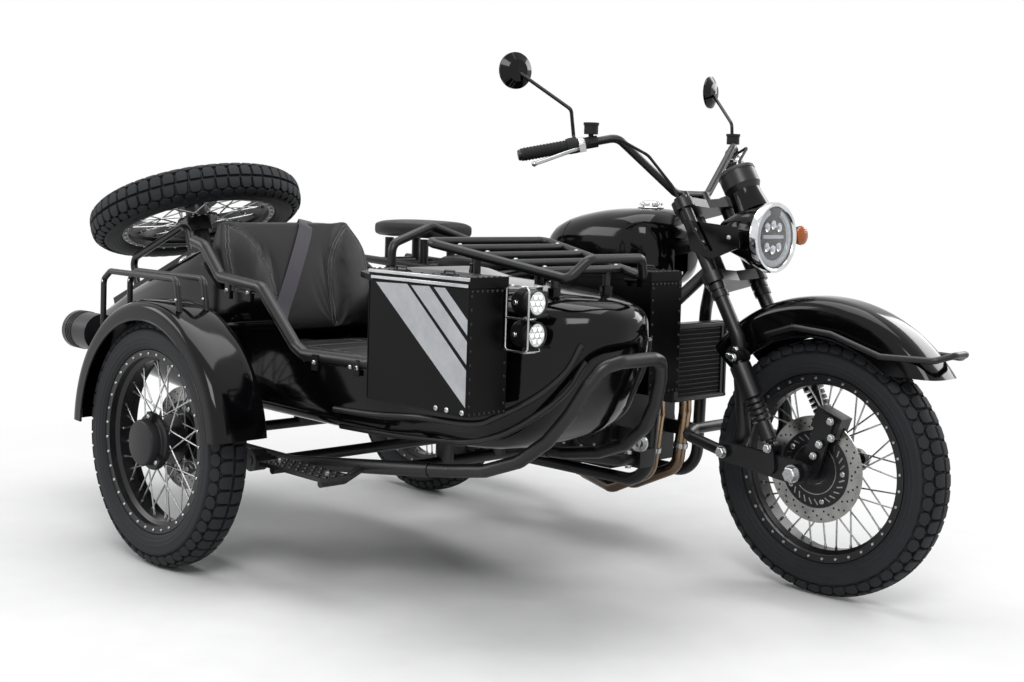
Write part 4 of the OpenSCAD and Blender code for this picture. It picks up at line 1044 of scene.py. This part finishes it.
def boxes():
    """Stripes, folds, rivets, feet, lid rails and lid fittings of the two side boxes."""
    for side, mirror in (("right", 1), ("left", -1)):
        def at(x, out, z):
            """Point on a box, out from its outer face."""
            y = FACE_Y - out
            return Vector((x, y if mirror > 0 else 2 * BODY_Y - y, z))
        film, rivets, folds, feet, rail, caps = Pile(), Pile(), Pile(), Pile(), Pile(), Pile()
        for stripe in STRIPES:
            n = len(stripe)
            rim = [(i, (i + 1) % n, n + (i + 1) % n, n + i) for i in range(n)]
            film.add(([at(x, o, z) for o in (0.0, 0.25) for x, z in stripe],
                      [tuple(range(n)), tuple(range(n, 2 * n))] + rim))
        film.piece("box_stripes_" + side, "chassis", STRIPE)
        folds.add(block((346, 1.6, 3), shift(*at(BOX_MID_X, 0.8, 523))))
        for x in (986.5, 1328.5):
            folds.add(block((3, 1.4, 276), shift(*at(x, 0.7, 660))))
        folds.piece("box_folds_" + side, "chassis", SHEET, 30, 0.6)
        for x, ahead in ((BOX_FRONT, 1), (BOX_BACK, -1)):
            rows = [(out, z) for out in range(8, 114, 15) for z in (795, 527)]
            rows += [(out, z) for z in range(545, 790, 30) for out in (7, 111)]
            for out, z in rows:
                dome_bolt(rivets, at(x, -out, z), AXIS_X * ahead, 7)
        rivets.piece("box_rivets_" + side, "chassis", SATIN, 40)
        for x in (1232, 1268, 1318):
            dome_bolt(feet, at(x, 0.4, 531), RIGHT * mirror, 13)
        feet.piece("box_feet_" + side, "chassis", ZINC, 40)
        lid_body = side + "_box_lid"
        rail.add(block((347, 4, 8), shift(*at(BOX_MID_X, 1.6, 821.5))))
        rail.add(block((334, 3.2, 8), shift(*at(1160, 1.3, 807.5))))
        rail.piece("lid_rail_" + side, lid_body, RAIL, 30, 1.2)
        screws = [(x, out) for x in (990, 1325) for out in range(10, 112, 17)] + [(x, 8)
                for x in range(1010, 1320, 38)]
        for x, out in screws:
            dome_bolt(caps, at(x, -out, LID_TOP), AXIS_Z, 7)
        for x in (1075, 1240):
            caps.add(block((46, 14, 4), shift(*at(x, -22, 827.5))))
            hasp = [(x - 18, 829), (x - 16, 835), (x + 16, 835), (x + 18, 829)]
            caps.add(wire([at(u, -22, z) for u, z in hasp], 2.5, 10))
        caps.piece("lid_fittings_" + side, lid_body, SATIN, 30)


# Fasteners and trim

CHAIN_PITCH = 15.9
STEP_TOP = 316.3
RUB_ROUTES = (
    [(1437, 678), (1409, 615), (1348, 551), (1268, 502), (1200, 477), (1031, 469), (894, 460), (760, 458)],
    [(1440, 640), (1400, 572), (1340, 508), (1260, 456), (1150, 424), (1030, 412), (900, 410), (740, 410)],
)


def fasteners():
    """Bolts, nuts and screws seen round the vehicle, in bright plate."""
    piles = {}

    def bright(body):
        return piles.setdefault(body, Pile())

    for s in (-1, 1):
        side = AXIS_Y * s
        for x, y, z, size in ((1350, 160, 352, 24), (1570, 162, 331, 34), (1494, 162, 384, 18),
                              (1372, 156, 602, 18)):
            hex_bolt(bright("steering"), (x, s * y, z), side, size)
        for x, z in ((1330, 600), (1352, 618)):
            hex_bolt(bright("steering"), (x, s * 118, z), side, 13)
        for x, z in ((1205, 925), (1232, 893), (1318, 910)):
            dome_bolt(bright("steering"), (x, s * 118.4, z), side, 14)
    for x, z in ((1636, 466), (1640, 425), (1606, 404), (1590, 372)):
        hex_bolt(bright("steering"), (x, -101, z), RIGHT, 15)
    for x, z in ((300, 723), (400, 723), (700, 570), (820, 570), (842, 570)):
        dome_bolt(bright("chassis"), (x, BODY_Y - 306 if x < 700 else BODY_Y - 306 + (x - 700) * 0.18, z),
                  RIGHT, 13)
    for i in range(1, 5):
        x = 1000 + i * 80
        for s in (-1, 1):
            dome_bolt(bright("chassis"), (x, BODY_Y + s * (205 - (x - 1000) * 0.187 - 22),
                                          888 - (x - 1000) * 0.165 + 9.6), AXIS_Z, 10)
    for x, z in ((1058, 290), (455, 255), (1076, 590), (364, 580)):
        for turn in (0.0, math.pi):
            spot = Vector((x, -190, z)) + Vector((math.sin(turn), 0, math.cos(turn))) * 15
            hex_bolt(bright("chassis"), spot, spot - Vector((x, -190, z)), 17)
    eye = toward((1078, -170, 334), (0.5, -0.8, 0.1))
    bright("chassis").add(lathe([(11, -7), (22, -8), (25, 0), (22, 8), (11, 7), (11, -7)], 32), eye)
    hex_bolt(bright("chassis"), (1060, -170, 334), AXIS_X, 26)
    for y in (-40, 40):
        for x in (28, 408):
            dome_bolt(bright("chassis"), (x, -1170 + y - 8.4, 735 if x < 100 else 712), RIGHT, 9)
    for body, pile in piles.items():
        pile.piece("bolts_" + body, body, ZINC, 35)


def laid_on(node, route, side, mid_y, reach):
    """Route in X and Z laid on a node's side, met from outside."""
    skin = surface_of(node)
    line = []
    for x, z in route:
        hit = skin.ray_cast((Vector((x, mid_y + side * reach, z)) - ORIGIN) / 1000,
                            Vector((0, -side, 0)))[0]
        if hit:
            line.append(hit * 1000 + ORIGIN)
    return line


def rub_strips():
    """Two half-round mouldings that sweep along the lower side of the hull."""
    outline = [(7 * math.cos(a), 8 * math.sin(a)) for a in circle(12)]
    for s, name in ((-1, "right"), (1, "left")):
        pile = Pile()
        for route in RUB_ROUTES:
            line = [(p.x, p.z) for p in spline([(x, 0, z) for x, z in route], 8)]
            pile.add(sweep([p + AXIS_Y * s * 1.5 for p in laid_on("sidecar_body", line, s, BODY_Y, 420)],
                           outline))
        pile.piece("hull_rub_strips_" + name, "chassis", SATIN, 60)


def cap_and_tank():
    """Stepped bright cap with a finger rim, its collar, and the tank's side weld."""
    c = centre("filler_cap")
    at = shift(c.x, c.y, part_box("filler_cap")[1].z * 1000)
    cap = Pile().add(lathe([(0, 6), (16, 5.4), (25, 3), (30, -1), (31.5, -6), (30, -9), (27.4, -10),
                            (27.4, -13), (0, -13)],
                           64), at)
    for a in circle(24):
        cap.add(lathe([(0, -8), (2.2, -8), (2.2, -2), (0, -1)], 10),
                at @ Matrix.Translation(polar(31, a, 0)))
    cap.add(lathe([(31, -20), (36, -18), (38, -15), (36, -13.4), (30, -13.4), (31, -20)], 64), at)
    cap.piece("filler_cap_top", "chassis", CHROME, 35)
    weld = Pile()
    for s in (-1, 1):
        seam = [(716 + i * 1.6, 806 + i * 7) for i in range(19)]
        weld.add(wire(laid_on("fuel_tank", seam, s, 0, 300), 1.6, 8))
    weld.piece("tank_weld", "chassis", PAINT, 60)


def radiator_fins():
    """Rows of flat tubes with folded fins between them, in the radiator's frame."""
    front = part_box("radiator")[1].x * 1000 + ORIGIN.x
    mid_z = 557
    tubes, fins, rim = Pile(), Pile(), Pile()
    for i in range(15):
        tubes.add(block((3, 188, 2.4), shift(front - 4.4, 0, 470 + i * 12.6)))
    for i in range(47):
        fins.add(block((1.6, 0.7, 186), shift(front - 5, -92 + i * 4, mid_z)))
    tubes.piece("radiator_tubes", "chassis", CAST, 30, 0.4)
    fins.piece("radiator_fins", "chassis", SATIN, 30)
    for s in (-1, 1):
        rim.add(block((4, 236, 8), shift(front + 1.5, 0, mid_z + s * 101)))
    for s in (-1, 1):
        rim.add(block((4, 8, 210), shift(front + 1.5, s * 112, mid_z)))
    rim.piece("radiator_frame", "chassis", SATIN, 30, 1.0)


def engine_details():
    """Cylinder fins, cover rims and screws, and clamps on the pipes and silencer."""
    fins, screws, clamps = Pile(), Pile(), Pile()
    for i in range(11):
        fins.add(block((206, 226, 4), shift(835, 0, 456 + i * 14)))
    for s in (-1, 1):
        side = AXIS_Y * s
        for x, z, r, y, count in ((720, 345, 88, 162, 10), (870, 350, 58, 158, 7)):
            cover = toward((x, s * y, z), side)
            fins.add(lathe([(r + 6, 0), (r + 6, 3), (r - 2, 4), (r - 4, 0), (r + 6, 0)], 56), cover)
            fins.add(lathe([(0, 0), (r * 0.62, 0), (r * 0.58, 5), (r * 0.3, 7), (0, 7)], 48), cover)
            for a in circle(count):
                dome_bolt(screws, (x + r * math.cos(a), s * (y + 3.5), z + r * math.sin(a)), side, 10)
        for x in (752, 922):
            for z in (632, 682):
                hex_bolt(screws, (x, s * 115, z), side, 11)
        for x, z, lean in ((1049, 480, 0.04), (1040, 300, 0.13)):
            clamps.add(lathe([(18.2, -7), (20.6, -7), (21, 0), (20.6, 7), (18.2, 7), (18.2, -7)], 32),
                       toward((x, s * 60, z), (lean, 0, 1)))
        clamps.add(lathe([(18.2, 0), (30, 0), (30, 6), (18.2, 7), (18.2, 0)], 32),
                   toward((945, s * 60, 640), AXIS_X))
    head, tail = Vector((275, 240, 283)), Vector((-330, 245, 345))
    along = (tail - head).normalized()
    clamps.add(lathe([(52.2, 0), (54, 0), (54, 16), (50, 20), (30, 22), (30, 8), (24, 8), (24, 2),
                      (52.2, 0)], 48),
               toward(tail - along * 14, along))
    for d in (60, 560):
        clamps.add(lathe([(52.2, -9), (54, -9), (54.4, 0), (54, 9), (52.2, 9), (52.2, -9)], 48),
                   toward(head + along * d, along))
    fins.piece("engine_fins", "chassis", CAST, 30, 0.8)
    screws.piece("engine_screws", "chassis", ZINC, 35)
    clamps.piece("pipe_clamps", "chassis", ZINC, 35)


def chain_links():
    """Side plates and pins along the drive chain's two runs and round its sprockets."""
    big, small = Vector((0, 78, 331)), Vector((584, 78, 345))
    big_r, small_r = 107 + 6.5, 37.3 + 6.5
    lean = math.asin((big_r - small_r) / (small - big).length)
    head = math.atan2(small.z - big.z, small.x - big.x)
    line = []
    for hub, r, start, sweep_angle, steps in ((big, big_r, math.pi / 2 - lean, math.pi + 2 * lean, 40),
                                              (small, small_r, lean - math.pi / 2, math.pi - 2 * lean, 14)):
        for i in range(steps + 1):
            a = head + start + sweep_angle * i / steps
            line.append(hub + Vector((math.cos(a), 0, math.sin(a))) * r)
    line.append(line[0])
    plates, pins = Pile(), Pile()
    travel, link = 0.0, 0
    for a, b in zip(line, line[1:]):
        way, far = (b - a).normalized(), (b - a).length
        while travel < far:
            spot = a + way * travel
            outer = link % 2
            for s in (-1, 1):
                flat = Matrix.Translation(spot + AXIS_Y * s * (8.2
                        if outer else 7.4)) @ turned(-math.atan2(way.z, way.x), "Y")
                plates.add(block((15, 1.2, 9 if outer else 10.5), flat))
                pins.add(lathe([(0, 0), (2.6, 0), (2.4, 1.6), (0, 1.8)], 10),
                         toward(spot + AXIS_Y * s * (8.0 if outer else 7.3), AXIS_Y * s))
            travel += CHAIN_PITCH
            link += 1
        travel -= far
    plates.piece("chain_plates", "chassis", ZINC, 30, 0.5)
    pins.piece("chain_pins", "chassis", ZINC, 40)


def step_details():
    """Raised grip teeth on the step and its bolts."""
    teeth, bolts = Pile(), Pile()
    for i in range(9):
        for k in range(3):
            teeth.add(lathe([(8.5, 0), (7, 2.6), (4.6, 2.6), (4, 0.6), (0, 0.6)], 14),
                      shift(632 + i * 29, BODY_Y - 334 - k * 27, STEP_TOP))
    for x in (640, 840):
        hex_bolt(bolts, (x, BODY_Y - 362, STEP_TOP), AXIS_Z, 12)
    teeth.piece("step_teeth", "chassis", SATIN, 30)
    bolts.piece("step_bolts", "chassis", ZINC, 35)


def boot_lock():
    """Bright key lock with its keyhole bar, right of the boot."""
    spot, normal, _, _ = surface_of("sidecar_body").find_nearest((Vector((4, -956, 793)) - ORIGIN) / 1000)
    at = spot * 1000 + ORIGIN
    lock = Pile().add(lathe([(0, 0), (15, 0), (15, 2), (12, 5), (6, 6), (6, 3), (0, 3)], 28),
                      toward(at, normal))
    lock.add(block((3, 14, 3), toward(at + normal * 5, normal)))
    lock.piece("boot_lock", "chassis", CHROME, 40)


def fender_edges():
    """Rolled wire edges along the skirts of the mudguards."""
    for name, body, hub, r, half, start, end in (
            ("sidecar", "chassis", (290, -1170, 331), 322, 75.5, 8, 178),
            ("rear", "chassis", (0, 0, 331), 335, 75.5, 24, 168),
            ("front", "steering", (1555, 0, 350), 318, 69.5, 50, 140)):
        pile = Pile()
        turns = [math.radians(start + (end - start) * i / 60) for i in range(61)]
        for s in (-1, 1):
            pile.add(wire([Vector(hub) + Vector((r * math.cos(a), s * half, r * math.sin(a)))
                           for a in turns], 3.4, 10))
        pile.piece(name + "_fender_edges", body, PAINT, 60)


# Studio

def studio():
    """Pale floor that turns white outwards, soft area lamps and a white surround."""
    mesh = bpy.data.meshes.new("floor")
    mesh.from_pydata([(-30, -30, 0), (30, -30, 0), (30, 30, 0), (-30, 30, 0)], [], [(0, 1, 2, 3)])
    floor = bpy.data.objects.new("floor", mesh)
    scene.collection.objects.link(floor)
    material = finish("pale_floor", "#f0f0ef", "#f6f6f5", 400, (0.6, 0.7))
    tree, shader, where = parts_of(material)
    shader.inputs["Specular IOR Level"].default_value = 0.1
    away = add(tree, "ShaderNodeVectorMath", None, {0: where}, operation="LENGTH").outputs["Value"]
    far = spread(tree, away, 0.0, 1.0, 0.9, 2.6)
    seen = seen_rays(tree)
    white = add(tree, "ShaderNodeEmission", {"Color": (1, 1, 1, 1), "Strength": 1.0}).outputs[0]
    factor = add(tree, "ShaderNodeMath", None, {0: far, 1: seen}, operation="MULTIPLY").outputs[0]
    mix = add(tree, "ShaderNodeMixShader", None, {0: factor, 1: shader.outputs[0], 2: white})
    tree.links.new(mix.outputs[0], tree.nodes["Material Output"].inputs["Surface"])
    mesh.materials.append(material)
    world = bpy.data.worlds.new("studio")
    world.use_nodes = True
    scene.world = world
    tree = world.node_tree
    back = tree.nodes["Background"]
    back.inputs["Color"].default_value = (0.8, 0.82, 0.85, 1)
    back.inputs["Strength"].default_value = 0.3
    white = add(tree, "ShaderNodeBackground", {"Color": (1, 1, 1, 1), "Strength": 1.0}).outputs[0]
    mix = add(tree, "ShaderNodeMixShader", None, {0: seen_rays(tree), 1: back.outputs[0], 2: white})
    tree.links.new(mix.outputs[0], tree.nodes["World Output"].inputs["Surface"])
    for name, place, aim, size, watts in (
            ("key", (3.4, -3.4, 4.2), (0.2, -0.3, 0.6), (2.6, 2.0), 150),
            ("fill", (-3.4, -3.6, 2.8), (-0.3, -0.3, 0.6), (2.4, 2.0), 70),
            ("top", (-0.2, 0.2, 4.6), (0, 0, 0.4), (4.0, 3.0), 130),
            ("back", (1.2, 4.6, 2.8), (0.2, 0.2, 0.7), (3.0, 1.8), 90)):
        light = bpy.data.lights.new(name, "AREA")
        light.shape = "RECTANGLE"
        light.size, light.size_y = size
        light.energy = watts
        lamp = bpy.data.objects.new(name, light)
        look = (Vector(aim) - Vector(place)).to_track_quat("-Z", "Y").to_matrix().to_4x4()
        lamp.matrix_world = shift(*place) @ look
        scene.collection.objects.link(lamp)
    scene.view_settings.view_transform = "Standard"


def seen_rays(tree):
    """1 for rays that see the backdrop: from the camera, off metal and through glass."""
    rays = add(tree, "ShaderNodeLightPath")
    first = add(tree, "ShaderNodeMath", None, {0: rays.outputs["Is Camera Ray"],
                                               1: rays.outputs["Is Glossy Ray"]}, operation="MAXIMUM")
    return add(tree, "ShaderNodeMath", None, {0: first.outputs[0], 1: rays.outputs["Is Transmission Ray"]},
               operation="MAXIMUM").outputs[0]


def camera():
    """Camera at the photograph's viewing angle."""
    data = bpy.data.cameras.new("camera")
    data.sensor_fit = "HORIZONTAL"
    data.sensor_width = 36
    data.lens = 49.27
    data.shift_y = -0.0889
    obj = bpy.data.objects.new("camera", data)
    yaw, pitch, roll = 0.7935, 0.0434, 0.0300
    right = Vector((math.cos(yaw), math.sin(yaw), 0))
    view = Vector((-math.sin(yaw) * math.cos(pitch), math.cos(yaw) * math.cos(pitch), -math.sin(pitch)))
    up = right.cross(view)
    right, up = right * math.cos(roll) + up * math.sin(roll), up * math.cos(roll) - right * math.sin(roll)
    place = (Vector((3543.7, -3107.8, 1020.3)) - ORIGIN) / 1000
    obj.matrix_world = Matrix.Translation(place) @ Matrix((right, up, -view)).transposed().to_4x4()
    scene.collection.objects.link(obj)
    scene.camera = obj


dress_cad()
painted_shells()
tyres()
spokes()
rim_studs()
hub_cap()
disc_carriers()
passenger_seat()
motorcycle_seats()
headlamp()
indicator()
spot_lamps()
gauge()
mirrors()
tail_lamps()
bar_fittings()
boxes()
fasteners()
rub_strips()
cap_and_tank()
radiator_fins()
engine_details()
chain_links()
step_details()
boot_lock()
fender_edges()
studio()
camera()
